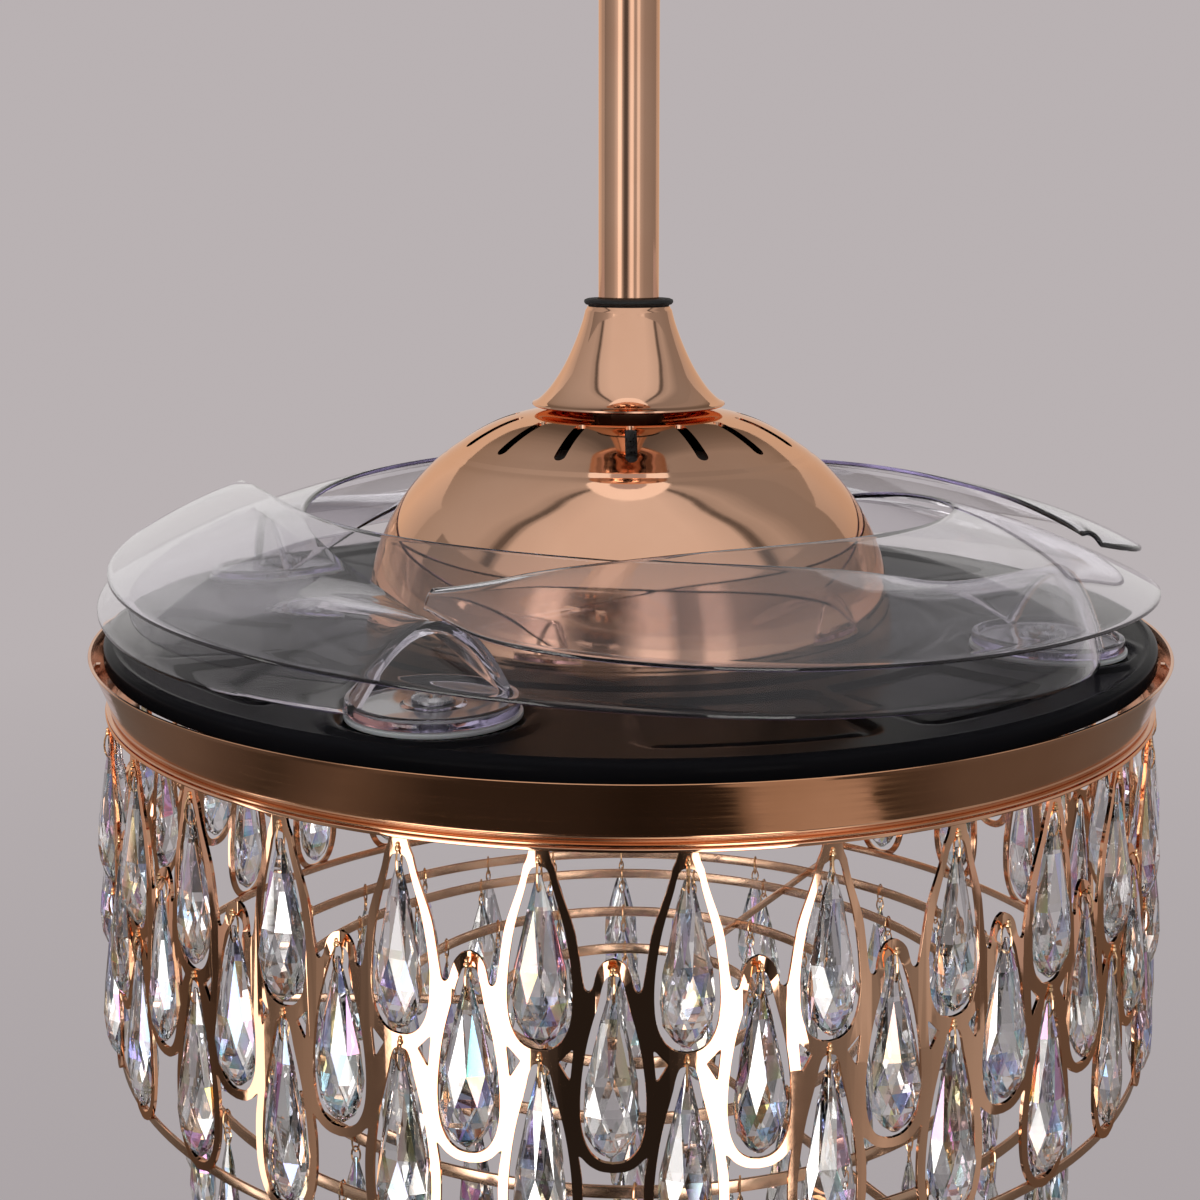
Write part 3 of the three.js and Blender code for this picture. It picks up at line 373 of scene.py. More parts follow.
steel = finish("plain_steel", (0.62, 0.62, 0.63), (0.50, 0.50, 0.52), 1.0, (0.22, 0.36), 700, 1e-5)
zinc = finish("zinc_steel", (0.56, 0.57, 0.58), (0.40, 0.42, 0.44), 1.0, (0.30, 0.5), 300, 2e-5, mottle=60.0)
silicon_steel = finish("silicon_steel", (0.22, 0.23, 0.25), (0.14, 0.15, 0.16), 0.9, (0.35, 0.55),
                       (30, 30, 2500), 4e-5)
copper = finish("copper_wire", (0.62, 0.27, 0.12), (0.45, 0.17, 0.07), 1.0, (0.2, 0.35), (120, 120, 1600),
                1.2e-4)
ferrite = finish("ferrite", (0.035, 0.035, 0.038), (0.02, 0.02, 0.022), 0.2, (0.5, 0.7), 900, 3e-5)
aluminium = finish("cast_aluminium", (0.52, 0.53, 0.54), (0.40, 0.41, 0.42), 1.0, (0.38, 0.58), 700, 4e-5)
white_shell = finish("white_shell", (0.76, 0.76, 0.74), (0.70, 0.70, 0.68), 0.0, (0.35, 0.5), 900, 1e-5)
led_plate = finish("led_aluminium", (0.78, 0.78, 0.76), (0.70, 0.70, 0.68), 0.0, (0.35, 0.5), 500, 8e-6)
opal = finish("opal_acrylic", (0.84, 0.83, 0.80), (0.80, 0.79, 0.76), 0.0, (0.22, 0.34), 400, 5e-6,
              Subsurface_Weight=0.35)


def clear_plastic():
    """Moulded polycarbonate: clear with a faint milky veil, and lavender where the eye looks along it."""
    n = Nodes("clear_polycarbonate")
    n.set(Transmission_Weight=0.992, IOR=1.46)
    flow = n.noise(9.0, 2.0, 0.5)
    n.feed("Base Color", n.blend(n.spread(flow, 0, 1), (0.945, 0.945, 0.965), (0.975, 0.97, 0.985)))
    n.feed("Roughness", n.spread(n.noise(60.0), 0.0, 0.03))
    n.bump(n.noise(28.0, 2.0, 0.5), 2.5e-5)
    volume = n.node("ShaderNodeVolumeAbsorption", {"Color": (0.55, 0.48, 0.74, 1), "Density": 24.0})
    n.finish_with(volume.outputs[0], "Volume")
    return n.material


def cut_crystal():
    """Lead crystal. Its facets carry painted light, kept in the mesh as a colour at each corner: a stretch of
    the rainbow painted for the light that cut glass splits, and grey painted as shade for dark reflections. A
    share of mirror, kept as facet_mirror, stands for the light that a cut stone turns back inside."""
    n = Nodes("crystal_glass")
    n.set(Transmission_Weight=1.0, IOR=1.6)
    # painted light on the facets: rainbow for split light, grey as painted shade for dark reflections
    facet_light = n.node("ShaderNodeAttribute", attribute_name="facet_painted_light").outputs["Color"]
    n.feed("Base Color", n.blend(n.spread(n.noise(40.0), 0.0, 0.12), facet_light, (0.93, 0.93, 0.95)))
    n.feed("Metallic", n.node("ShaderNodeAttribute", attribute_name="facet_mirror").outputs["Fac"])
    n.feed("Roughness", n.spread(n.noise(90.0), 0.0, 0.01))
    return n.material


polycarbonate = clear_plastic()
crystal = cut_crystal()

# ---- hanger, canopy, rod and coupling


def screw_head(radius, height, recess):
    """A pan head at the origin, which stands on z = 0, with a cross cut into it."""
    profile = [[0, height - recess], [0.28 * radius, height - recess], [0.34 * radius, height - 0.1],
               [0.6 * radius, height], [0.85 * radius, 0.78 * height], [radius, 0.35 * height], [radius, 0],
               [0, 0]]
    points, faces = lathe(profile, 32, closed=False)
    angle = np.arctan2(points[:, 1], points[:, 0])
    ring = np.hypot(points[:, 0], points[:, 1])
    arm = np.abs(np.sin(2 * angle)) < 0.3
    reach = arm & (ring > 0.3 * radius) & (ring < 0.7 * radius) & (points[:, 2] > 0.5 * height)
    points[reach, 2] -= recess * 0.8
    return points, faces


def make_hanger():
    foot = CEILING - 46
    seat = math.sqrt(BALL_RADIUS**2 - (BALL_HEIGHT - (CEILING - 43.5)) ** 2) + 0.3
    bracket = rounded([(0, CEILING, 0), (54, CEILING), (54, CEILING - 3), (46, CEILING - 3, 2), (46, 346, 5),
                       (40, foot + 8, 4), (34, foot, 3), (seat, foot, 0.6), (seat + 1.3, foot + 2.5, 0.6),
                       (33, foot + 2.5, 2), (37.6, foot + 9, 3), (43.5, 347, 4), (43.5, CEILING - 3, 1),
                       (0, CEILING - 3, 0)], 0.8)
    piece("hanger_bracket_pressed", lathe(bracket, 96), zinc, "fixed_frame", ["hanger_bracket"])
    bore = ROD_RADIUS + 0.3
    angles = np.radians(np.linspace(-47.4, 25, 20))
    outside = np.stack([BALL_RADIUS * np.cos(angles), BALL_HEIGHT + BALL_RADIUS * np.sin(angles)], -1)
    ball = np.vstack([outside, [[bore + 1, outside[-1][1]], [bore, outside[-1][1] - 1],
                                [bore, outside[0][1] + 1], [bore + 1, outside[0][1]]]])
    piece("hanger_ball_turned", lathe(ball, 64), zinc, "fixed_frame", ["hanger_ball"])
    line = spline([(17, 296), (24, 296.8), (32, 299), (41, 304), (48, 311), (54.5, 321), (59, 332),
                   (62.5, 343), (64.4, 352), (64.9, 358.7)], 6)
    piece("canopy_spun", lathe(sheet_profile(line, 1.2), 128), rose_polished, "fixed_frame",
          ["canopy"])
    for side, name in ((-1, "left"), (1, "right")):
        head = screw_head(4, 2.2, 0.7)
        stem = lathe([[0, -19], [2, -19], [2, 0.4], [0, 0.4]], 24, closed=False)
        points, faces = joined([head, stem])
        points = np.stack([side * (65.3 + points[:, 2]), points[:, 1], CEILING - 6 + points[:, 0]], -1)
        piece(f"canopy_screw_{name}_head", (points, faces), steel, "fixed_frame",
              [f"canopy_screw_{name}"])


def make_rod():
    bore = ROD_RADIUS - 2
    rod = rounded([(bore, ROD_FOOT), (ROD_RADIUS, ROD_FOOT), (ROD_RADIUS, ROD_HEAD), (bore, ROD_HEAD)], 0.4)
    piece("downrod_tube", lathe(rod, 96), rose_rod, "fixed_frame", ["downrod"])
    seal = rounded([(13.65, 141.9, 0.3), (17.6, 141.9, 0.4), (17.9, 143.0, 0.3), (19.0, 143.3, 0.5),
                    (19.7, 144.2, 0.5), (19.6, 145.3, 0.5), (18.2, 145.9, 0.8), (16.2, 145.5, 0.6),
                    (15.2, 145.9, 0.3), (13.65, 145.9, 0.3)], 0.3)
    piece("rod_gasket_moulded", lathe(seal, 96), rubber, "fixed_frame", ["rod_gasket"])
    line = np.vstack([
        [(42.2, 98.9), (42.75, 99.4)],
        spline([(42.6, 100.1), (40.2, 101.3), (36.6, 104.6), (33.5, 108.4), (28.4, 116.6), (23.6, 127.0),
                (20.4, 136.0), (19.1, 141.0)], 8),
        [(18.6, 141.5)],
    ])
    piece("coupling_cover_spun", lathe(sheet_profile(line, 1.1), 160), rose_polished,
          "fixed_frame", ["coupling_cover"], 50)


# ---- motor housing

CROWN = [(21, 97.4), (36, 96.6), (48, 94.8), (58, 91.6), (68, 86.6), (76, 81.4), (79.6, 79.0)]
BODY = [(81.2, 77.6), (84.5, 75.2), (91, 69.0), (98.5, 60.4), (105, 50.2), (109.8, 39.8), (113, 30),
        (115.2, 19.5), (116.6, 9.5), (117, 5.4)]
VENTS = 15
VENT_INNER, VENT_OUTER, VENT_WIDTH = 48.5, 74.0, 5.0


def vent_cutter(azimuth):
    """An upright block with round ends, along a radius."""
    half = VENT_WIDTH / 2
    ends = []
    for middle, start in ((VENT_OUTER - half, -90), (VENT_INNER + half, 90)):
        a = np.radians(np.linspace(start, start + 180, 13))
        ends.append(np.stack([half * np.sin(a), -(middle + half * np.cos(a))], -1))
    outline = np.vstack(ends)
    points = np.vstack([np.column_stack([outline, np.full(len(outline), z)]) for z in (66.0, 110.0)])
    return turned((points, prism_faces(len(outline))), azimuth)


def line_normals(points, line):
    """Outward normals, for points near a turned line, of the surface that the line makes."""
    radius = np.hypot(points[:, 0], points[:, 1])
    flat = np.stack([radius, points[:, 2]], -1)
    start, step = line[:-1], np.diff(line, axis=0)
    t = np.einsum("nkd,kd->nk", flat[:, None] - start, step) / np.einsum("kd,kd->k", step, step)
    t = np.clip(t, 0, 1)
    foot = start + t[..., None] * step
    k = np.argmin(np.linalg.norm(flat[:, None] - foot, axis=2), axis=1)
    tangents = np.gradient(line, axis=0)
    share = t[np.arange(len(t)), k][:, None]
    tangent = tangents[k] * (1 - share) + tangents[k + 1] * share
    tangent /= np.linalg.norm(tangent, axis=1)[:, None]
    out = points[:, :2] / np.maximum(radius, 1e-9)[:, None]
    return np.column_stack([out * tangent[:, 1:], -tangent[:, 0]])


def make_dome():
    # the line has a soft shoulder between body and crown
    line = np.vstack([spline(BODY[::-1], 7), spline(CROWN[::-1], 7)])
    shell = lathe(sheet_profile(line, 1.5), 192)
    obj = linked("motor_housing_spun", to_mesh("motor_housing_spun", *shell))
    cutters = joined([vent_cutter(360 / VENTS * i) for i in range(VENTS)])
    boolean(obj, linked("cutter", to_mesh("cutter", *cutters)), "DIFFERENCE")
    mesh = obj.data
    mesh.shade_smooth()
    outward = line_normals(points_of(mesh), line)
    normals = []
    for polygon in mesh.polygons:
        own = np.array(polygon.normal)
        for index in polygon.vertices:
            away = outward[index]
            side = float(own @ away)
            normals.append(away if side > 0.75 else -away if side < -0.75 else own)
    mesh.normals_split_custom_set([tuple(n) for n in normals])
    dress(obj, rose_polished, "rotor", ["motor_housing"])


# ---- tray

POCKETS = [(35, 26), (62, 22)]
POCKET_INNER, POCKET_OUTER, POCKET_CORNER = 150, 211, 9


def smooth(low, high, value):
    t = np.clip((value - low) / (high - low), 0, 1)
    return t * t * (3 - 2 * t)


def pocket_depth(radius, azimuth, middle, spread):
    """How far inside the edge of a pressed pocket with round corners a point lies."""
    centre = (POCKET_INNER + POCKET_OUTER) / 2
    across = np.abs(radius - centre) - (POCKET_OUTER - POCKET_INNER) / 2 + POCKET_CORNER
    swing = np.abs((azimuth - middle + 180) % 360 - 180)
    width = np.radians(spread / 2) * (radius * 0.55 + centre * 0.45)
    along = np.radians(swing) * radius - width + POCKET_CORNER
    corner = np.hypot(np.maximum(across, 0), np.maximum(along, 0)) + np.minimum(np.maximum(across, along), 0)
    return POCKET_CORNER - corner


def tray_height(radius, azimuth):
    height = np.full_like(radius, TRAY_TOP)
    for pivot in PIVOTS:
        for middle, spread in POCKETS:
            inside = pocket_depth(radius, azimuth, pivot + middle, spread)
            height -= 2.0 * smooth(0.0, 2.6, inside) - 0.8 * smooth(4.0, 8.0, inside)
        a = np.radians(azimuth - pivot)
        away = np.hypot(radius * np.sin(a), radius * np.cos(a) - PIVOT_RADIUS)
        height += 1.3 * smooth(41.5, 38.5, away) * smooth(33.6, 35.2, away)
        height -= 0.3 * smooth(35.2, 33.0, away)
    height -= 1.4 * smooth(132, 136, radius) * smooth(142, 138, radius)
    return height


def make_tray():
    segments = 540
    azimuths = np.arange(segments) * 360 / segments
    radii = np.concatenate([np.linspace(60, 125, 10), np.arange(127, 221.6, 1.25)])
    grid_radius, grid_azimuth = np.meshgrid(radii, azimuths, indexing="ij")
    top = polar(grid_radius, grid_azimuth, tray_height(grid_radius, grid_azimuth)).reshape(-1, 3)
    rim = rounded([(221.9, TRAY_TOP, 0), (222.6, TRAY_TOP, 0), (224.6, 5.9, 1.2), (228, 4.6, 3.2),
                   (228, -3, 1.2), (224.9, -3, 1.0), (225.0, 1.6, 1.5), (221, 1.6, 2)], 1, 5)
    edge = np.vstack([rim, [(140.0, 1.6), (60.0, 2.2)]])
    rest = polar(edge[:, :1], azimuths[None, :], edge[:, 1:]).reshape(-1, 3)
    shape = np.vstack([top, rest]), grid_faces(len(radii) + len(edge), segments, True, True)
    piece("blade_tray_pressed", shape, black_satin, "rotor", ["blade_tray"], 60)


# ---- blades

WASHER_FOOT, WASHER_HEAD = 5.3, 7.0
ROOT_FOOT, ROOT_HEAD = 7.3, 10.3
SCREW_SEAT = 10.6
PIVOT_BORE = 5.3
BLADE_LENGTH = 560.0
INNER_EDGE = [(-7.1, 167, 8.8), (10, 152, 31), (33, 145, 46), (70, 142, 55), (110, 145, 59), (145, 152, 60),
              (165, 172, 58), (178, 197, 52)]
OUTER_EDGE = [(4.8, 209.2, 8.8), (24, 226, 13), (50, 230, 18), (90, 228, 27), (125, 226, 31), (150, 225, 35),
              (168, 221, 41), (178, 205, 48)]


def sheet_point(along, across):
    """The middle of the blade's sheet, as in the part's source, with the pivot at azimuth 0."""
    inner, outer = curve_at(INNER_EDGE, along), curve_at(OUTER_EDGE, along)
    across = np.asarray(across, float)[:, None]
    mixed = outer * (1 - across) + inner * across
    fade = 1 - smooth(0, 0.3, along)
    arch = (3 + 25 * fade) * 4 * across[:, 0] * (1 - across[:, 0])
    return polar(mixed[:, 1], -mixed[:, 0], mixed[:, 2] + arch)


def sheet_normal(along, across):
    a, c = np.clip(along, 0.004, 0.996), np.clip(across, 0.01, 0.99)
    lengthwise = sheet_point(a + 0.004, c) - sheet_point(a - 0.004, c)
    crosswise = sheet_point(a, c + 0.01) - sheet_point(a, c - 0.01)
    normal = np.cross(lengthwise, crosswise)
    normal /= np.linalg.norm(normal, axis=1)[:, None]
    return np.where(normal[:, 2:] < 0, -normal, normal)


def blade_sheet():
    """The closed skin of the sheet: its middle pushed out on both sides, thicker at the root and thinned to
    a round edge over the last millimetre."""
    stations = np.concatenate([[0, 0.0015, 0.004, 0.008], np.linspace(0.014, 0.985, 90), [0.992, 0.997, 1.0]])
    columns = np.concatenate([[0, 0.006, 0.018], np.linspace(0.04, 0.96, 17), [0.982, 0.994, 1]])
    along, across = [g.ravel() for g in np.meshgrid(stations, columns, indexing="ij")]
    middle, normal = sheet_point(along, across), sheet_normal(along, across)
    width = np.linalg.norm(sheet_point(along, along * 0) - sheet_point(along, along * 0 + 1), axis=1) + 1e-6
    to_side = np.minimum(across, 1 - across) * width
    to_end = np.minimum(along, 1 - along) * BLADE_LENGTH
    half = 1.05 + 1.5 * (1 - smooth(0, 7.0, along * BLADE_LENGTH))
    edge = np.clip(np.minimum(to_side, to_end), 0, 1)
    half = half * np.sqrt(np.clip(1 - (1 - edge) ** 2, 0.02, 1))
    top, bottom = middle + normal * half[:, None], middle - normal * half[:, None]
    rows, cols = len(stations), len(columns)
    faces = grid_faces(rows, cols)
    faces += [[k + rows * cols for k in reversed(f)] for f in grid_faces(rows, cols)]
    border = [i * cols for i in range(rows)] + [(rows - 1) * cols + j for j in range(1, cols)]
    border += [i * cols + cols - 1 for i in range(rows - 2, -1, -1)] + list(range(cols - 2, 0, -1))
    for k, a in enumerate(border):
        b = border[(k + 1) % len(border)]
        faces.append([a, b, b + rows * cols, a + rows * cols])
    return np.vstack([top, bottom]), faces


def make_blades():
    root = rounded([(PIVOT_BORE, ROOT_FOOT, 0.2), (31, ROOT_FOOT, 0.6), (31, 11.6, 0.8), (28.6, 11.9, 0.8),
                    (27.4, 9.6, 0.8), (12, 9.4, 0.8), (10.8, ROOT_HEAD, 0.5), (PIVOT_BORE, ROOT_HEAD, 0.2)],
                   0.4)
    disc = shifted(lathe(root, 72), (0, -PIVOT_RADIUS, 0))
    sheet = linked("sheet", to_mesh("sheet", *blade_sheet()))
    boolean(sheet, linked("disc", to_mesh("disc", *disc)), "UNION")
    shade(sheet.data, 40)
    for i, azimuth in enumerate(PIVOTS):
        blade = f"blade_{i + 1}"
        mesh = sheet.data.copy()
        mesh.name = f"{blade}_moulded"
        points, _ = turned((np.array([v.co for v in mesh.vertices]), None), azimuth)
        mesh.vertices.foreach_set("co", points.astype(np.float32).ravel())
        mesh.update()
        dress(linked(mesh.name, mesh), polycarbonate, blade, [blade])
    bpy.data.objects.remove(sheet)


def make_pivots():
    washer = rounded([(PIVOT_BORE, WASHER_FOOT), (32, WASHER_FOOT), (32, WASHER_HEAD),
                      (PIVOT_BORE, WASHER_HEAD)], 0.4)
    neck = [[0, -2.8], [5.5, -2.8], [5.5, 2.2], [3, 2.2], [3, WASHER_FOOT], [5, WASHER_FOOT],
            [5, SCREW_SEAT], [8, SCREW_SEAT]]
    stem = lathe(neck, 32, closed=False)
    turns, ring = np.linspace(0, 3.0, 97)[:, None], np.radians(np.arange(6) * 60)
    wire = polar(9.0 + 0.7 * np.cos(ring), 360 * turns, -1.2 + 0.9 * turns + 0.7 * np.sin(ring))
    ends = [list(range(6)), [6 * len(turns) - 1 - k for k in range(6)]]
    spring = wire.reshape(-1, 3), grid_faces(len(turns), 6, False, True) + ends
    for i, azimuth in enumerate(PIVOTS):
        centre = polar(PIVOT_RADIUS, azimuth, 0.0)
        number = i + 1
        piece(f"pivot_washer_{number}_round", shifted(lathe(washer, 96), centre), nylon,
              "rotor", [f"pivot_washer_{number}"])
        head = shifted(screw_head(8, 3.0, 1.1), (0, 0, SCREW_SEAT))
        piece(f"pivot_screw_{number}_head", shifted(joined([head, stem]), centre), steel,
              "rotor", [f"pivot_screw_{number}"])
        piece(f"return_spring_{number}_coil", shifted(spring, centre), steel, "rotor",
              [f"return_spring_{number}"])


# ---- flared ring


def make_ring():
    outside = np.vstack([
        spline([(225.3, -22.2), (225.3, -21.6)], 3),
        spline([(225.8, -21.4), (226.15, -21.0), (226.0, -20.5)], 4),
        spline([(226.1, -20.1), (228.4, -13.6), (231.3, -6.6), (233.6, -1.4)], 8),
        [(234.25, -0.6), (234.4, -0.25), (234.2, 0.0)],
    ])
    inside = spline([(233.1, -0.1), (232.1, -1.8), (229.8, -6.4), (226.9, -12.2), (224.8, -17.0),
                     (223.9, -22.3)], 4)
    foot = [(214, -22.3), (214, -23.5), (227.2, -23.5), (227.6, -23.1), (227.6, -22.6), (227.2, -22.3)]
    profile = np.vstack([outside, inside, foot])
    shapes = [lathe(profile, 256)]
    lug = slab(np.array([(-1.8, -5.2), (1.8, -5.2), (1.8, -3.8), (-1.8, -3.8)]), 0.0, -1.6, 0.6)
    shapes += [at_wall(lug, azimuth, 231.0) for azimuth in range(15, 360, 30)]
    piece("flared_ring_rolled", joined(shapes), rose_ring, "fixed_frame", ["flared_ring"], 40)


# ---- cage

# half the width of a column laid flat, and the flat strips that a column is bent into
HALF = math.pi * CAGE_RADIUS / CAGE_COLUMNS
BENDS = 16
DROP_HEIGHT = 62
DROP = [(0, 0), (2.3, 0.7), (3.6, 3.2), (4.7, 7.6), (8.2, 20), (9.9, 29), (10.9, 38), (11.05, 45), (10.5, 51),
        (9.2, 55.5), (6.8, 59.3), (3.6, 61.4), (0, DROP_HEIGHT)]


def both_sides(half):
    """A closed outline from its right half, which runs from the middle to the middle."""
    half = np.asarray(half, float)
    left = half[half[:, 0] > 1e-6][::-1] * np.array([-1, 1])
    return np.vstack([half, left])


def drop_outline(row):
    scaled = [(x, ROW_TOPS[row] - y * ROW_HEIGHTS[row] / DROP_HEIGHT) for x, y in DROP]
    return both_sides(spline(scaled, 4))


def cage_cell():
    """One column of the cage laid flat, with its openings cut and its cut edges eased."""
    foot = ROW_TOPS[2] - ROW_HEIGHTS[2] - BAR
    top = HOOP_TOP - 0.5
    corners = np.array([(-HALF, foot), (HALF, foot), (HALF, top), (-HALF, top)])
    above = np.vstack([
        spline([(0, -62.6), (3, -63.5), (5.2, -66), (6.3, -69.5), (7.1, -72.4), (8.3, -73.2), (9.5, -72.4),
                (10.3, -69), (11.6, -60), (13, -52), (17.1, -39.7), (18.5, -35.0), (19.4, -31)], 3),
        [(20.6, -28.2), (21.4, HOOP_TOP - 1.3), (0, HOOP_TOP - 1.3)],
    ])
    below = np.vstack([
        spline([(0, -135.8), (4.5, -135.2), (8.2, -133.2), (10.6, -130.8), (11.5, -130.4), (11.3, -132.6),
                (10.5, -138), (10.2, -146), (10.6, -154), (12.0, -160.5), (14.6, -166), (18.6, -170.2),
                (HALF - 1.6, foot + 0.15)], 3),
        [(HALF - 1.0, foot - 1), (0, foot - 3)],
    ])
    gap = rounded([(13.2, -92.5), (18.3, -98.0), (14.4, -104.5)], 0.6, 3)
    cutters = [slab(both_sides(above)), slab(both_sides(below)), slab(drop_outline(1))]
    cutters += [slab(gap), slab(gap * np.array([-1, 1]))]
    for row in (0, 2):
        cutters += [slab(drop_outline(row), side * HALF) for side in (-1, 1)]
    plate = linked("plate", to_mesh("plate", *slab(corners, 0, 0, CAGE_SHEET)))
    boolean(plate, linked("cutter", to_mesh("cutter", *joined(cutters))), "DIFFERENCE")
    bm = bmesh.new()
    bm.from_mesh(plate.data)
    half = HALF * METRES
    seam = [f for f in bm.faces if all(abs(abs(v.co.x) - half) < 1e-6 for v in f.verts)]
    bmesh.ops.delete(bm, geom=seam, context="FACES")
    for k in range(1, BENDS):
        x = -half + 2 * half * k / BENDS
        geom = bm.verts[:] + bm.edges[:] + bm.faces[:]
        bmesh.ops.bisect_plane(bm, geom=geom, plane_co=(x, 0, 0), plane_no=(1, 0, 0), dist=1e-7)
    edges = [e for e in bm.edges if len(e.link_faces) == 2 and e.calc_face_angle() > math.radians(50)
             and abs(e.verts[0].co.y - e.verts[1].co.y) < 1e-6]
    bmesh.ops.bevel(bm, geom=edges, offset=0.00034, segments=1, affect="EDGES", clamp_overlap=True)
    bm.to_mesh(plate.data)
    bm.free()
    shape = points_of(plate.data), [list(p.vertices) for p in plate.data.polygons]
    bpy.data.objects.remove(plate)
    return shape


def make_cage():
    points, faces = cage_cell()
    # the first row's frames are rounder than the wall, up to a soft crease at the second row
    sag = 0.0044 * (HALF - np.abs(points[:, 0])) ** 2 * smooth(-76, -70, points[:, 2])
    cells = []
    for i in range(CAGE_COLUMNS):
        azimuth = CAGE_TURN + (points[:, 0] / (2 * HALF) + i) * 360 / CAGE_COLUMNS
        cells.append((polar(CAGE_RADIUS - CAGE_SHEET + points[:, 1] - sag, azimuth, points[:, 2]), faces))
    inner, outer = CAGE_RADIUS - 1.6, CAGE_RADIUS + 0.4
    hoop = rounded([(inner, HOOP_TOP), (outer, HOOP_TOP), (outer, HOOP_FOOT), (inner, HOOP_FOOT)], 0.3, 3)
    mesh = to_mesh("cage_cut_sheet", *joined(cells))
    bm = bmesh.new()
    bm.from_mesh(mesh)
    bmesh.ops.remove_doubles(bm, verts=bm.verts, dist=2e-6)
    bm.to_mesh(mesh)
    bm.free()
    shade(mesh, 30)
    dress(linked("cage_cut_sheet", mesh), rose_cage, "fixed_frame", ["cage"])
    piece("cage_hoop", lathe(hoop, 256), rose_cage, "fixed_frame")


# ---- crystals and wires

FACETS = 8
CUTS = [(0.0, 0.09, 0), (0.20, 0.44, 1), (0.55, 0.90, 0), (0.73, 1.0, 1), (0.86, 0.89, 0), (0.95, 0.55, 1),
        (1.0, 0.14, 0)]


def drop_shape(length, width, thickness):
    """A faceted drop that hangs from the origin: long facets above, kites and triangles below."""
    points = []
    for down, size, turn in CUTS:
        a = (np.arange(FACETS) + 0.5 * turn) * 2 * math.pi / FACETS
        points.append(np.stack([size * width / 2 * np.sin(a), size * thickness / 2 * np.cos(a),
                                np.full(FACETS, -down * length)], -1))
    faces = [list(range(FACETS))]
    for i in range(len(CUTS) - 1):
        turn = CUTS[i][2]
        for j in range(FACETS):
            a, b = i * FACETS + j, i * FACETS + (j + 1) % FACETS
            c, d = a + FACETS, b + FACETS
            faces += [[a, b, d], [a, d, c]] if turn else [[a, b, c], [b, d, c]]
    faces.append([(len(CUTS) - 1) * FACETS + k for k in reversed(range(FACETS))])
    return np.vstack(points), faces


def wire_loop(middle, half_depth, half_height, wire, turn):
    """A closed ring of wire in the upright plane across the wall, turned a little about the upright."""
    u = np.linspace(0, 2 * math.pi, 15)[:-1]
    v = np.linspace(0, 2 * math.pi, 6)[:-1]
    u, v = np.meshgrid(u, v, indexing="ij")
    depth = half_depth * np.cos(u) + wire * np.cos(v) * np.cos(u)
    height = middle + half_height * np.sin(u) + wire * np.cos(v) * np.sin(u)
    side = wire * np.sin(v)
    c, s = math.cos(turn), math.sin(turn)
    points = np.stack([side * c - depth * s, side * s + depth * c, height], -1).reshape(-1, 3)
    return points, grid_faces(14, 5, True, True)


def bead(height, outwards, radius):
    """A small knot of wire."""
    profile = [(radius * math.sin(a), radius * math.cos(a)) for a in np.linspace(0, math.pi, 6)]
    points, faces = lathe(profile, 8, closed=False)
    return points * np.array([1, 0.8, 1]) + np.array([0, outwards, height]), faces


def paint_facet_light(mesh, chance):
    """Paints light on the facets: some get a stretch of the rainbow across them, painted for the light that
    cut glass splits, some a grey veil, painted shade for dark reflections, and some a share of mirror."""
    painted_colours = np.full((len(mesh.loops), 4), 0.99, np.float32)
    mirrors = np.zeros(len(mesh.polygons), np.float32)
    for polygon in mesh.polygons:
        kind, strength = chance.random(), chance.uniform(0.3, 1.0)
        first = chance.choice([0.07, 0.09, 0.11, 0.55, 0.6, 0.64, 0.66, 0.85])
        stretch, turn = chance.uniform(0.03, 0.16), chance.uniform(0, 2 * math.pi)
        # painted light: a stretch of the rainbow, as cut glass splits light
        if kind < 0.26:
            for k, corner in enumerate(polygon.loop_indices):
                hue = first + stretch * math.cos(turn + 2 * math.pi * k / polygon.loop_total)
                wave = 0.5 + 0.5 * np.cos(2 * math.pi * (hue - np.array([0.0, 1 / 3, 2 / 3])))
                painted_colours[corner, :3] = 1 - 0.8 * strength * (1 - wave)
            mirrors[polygon.index] = 0.45 * strength
        # painted shade: grey facets that stand in for dark reflections
        elif kind < 0.38:
            painted_colours[list(polygon.loop_indices), :3] = 1 - 0.7 * strength
        elif kind < 0.78:
            mirrors[polygon.index] = 0.6 * strength**2
    attribute = mesh.attributes.new("facet_painted_light", "FLOAT_COLOR", "CORNER")
    attribute.data.foreach_set("color", painted_colours.ravel())
    attribute = mesh.attributes.new("facet_mirror", "FLOAT", "FACE")
    attribute.data.foreach_set("value", mirrors)


def hang_crystals(name, azimuths, radius, top, length, width, thickness, loops, nodes, seed):
    """A ring of crystals as one piece, and their wires as another."""
    chance = np.random.default_rng(seed)
    base, faces = drop_shape(length, width, thickness)
    x, y, z = base.T
    drops, wires = [], []
    for azimuth in azimuths:
        yaw, lean = chance.uniform(-0.28, 0.28), chance.uniform(-0.018, 0.018)
        c, s = math.cos(yaw), math.sin(yaw)
        points = np.stack([x * c - y * s + lean * z, x * s + y * c, z + top], -1)
        drops.append(at_wall((points, faces), azimuth, radius))
        for middle, depth, height, wire, turn in loops:
            ring = wire_loop(middle, depth, height, wire, turn + chance.uniform(-0.3, 0.3))
            wires.append(at_wall(ring, azimuth, radius))
    mesh = to_mesh(name, *joined(drops))
    shade(mesh, 0)
    # paints rainbow light and grey shade for dark reflections onto the facets
    paint_facet_light(mesh, chance)
    dress(linked(name, mesh), crystal, "fixed_frame", nodes)
    return wires


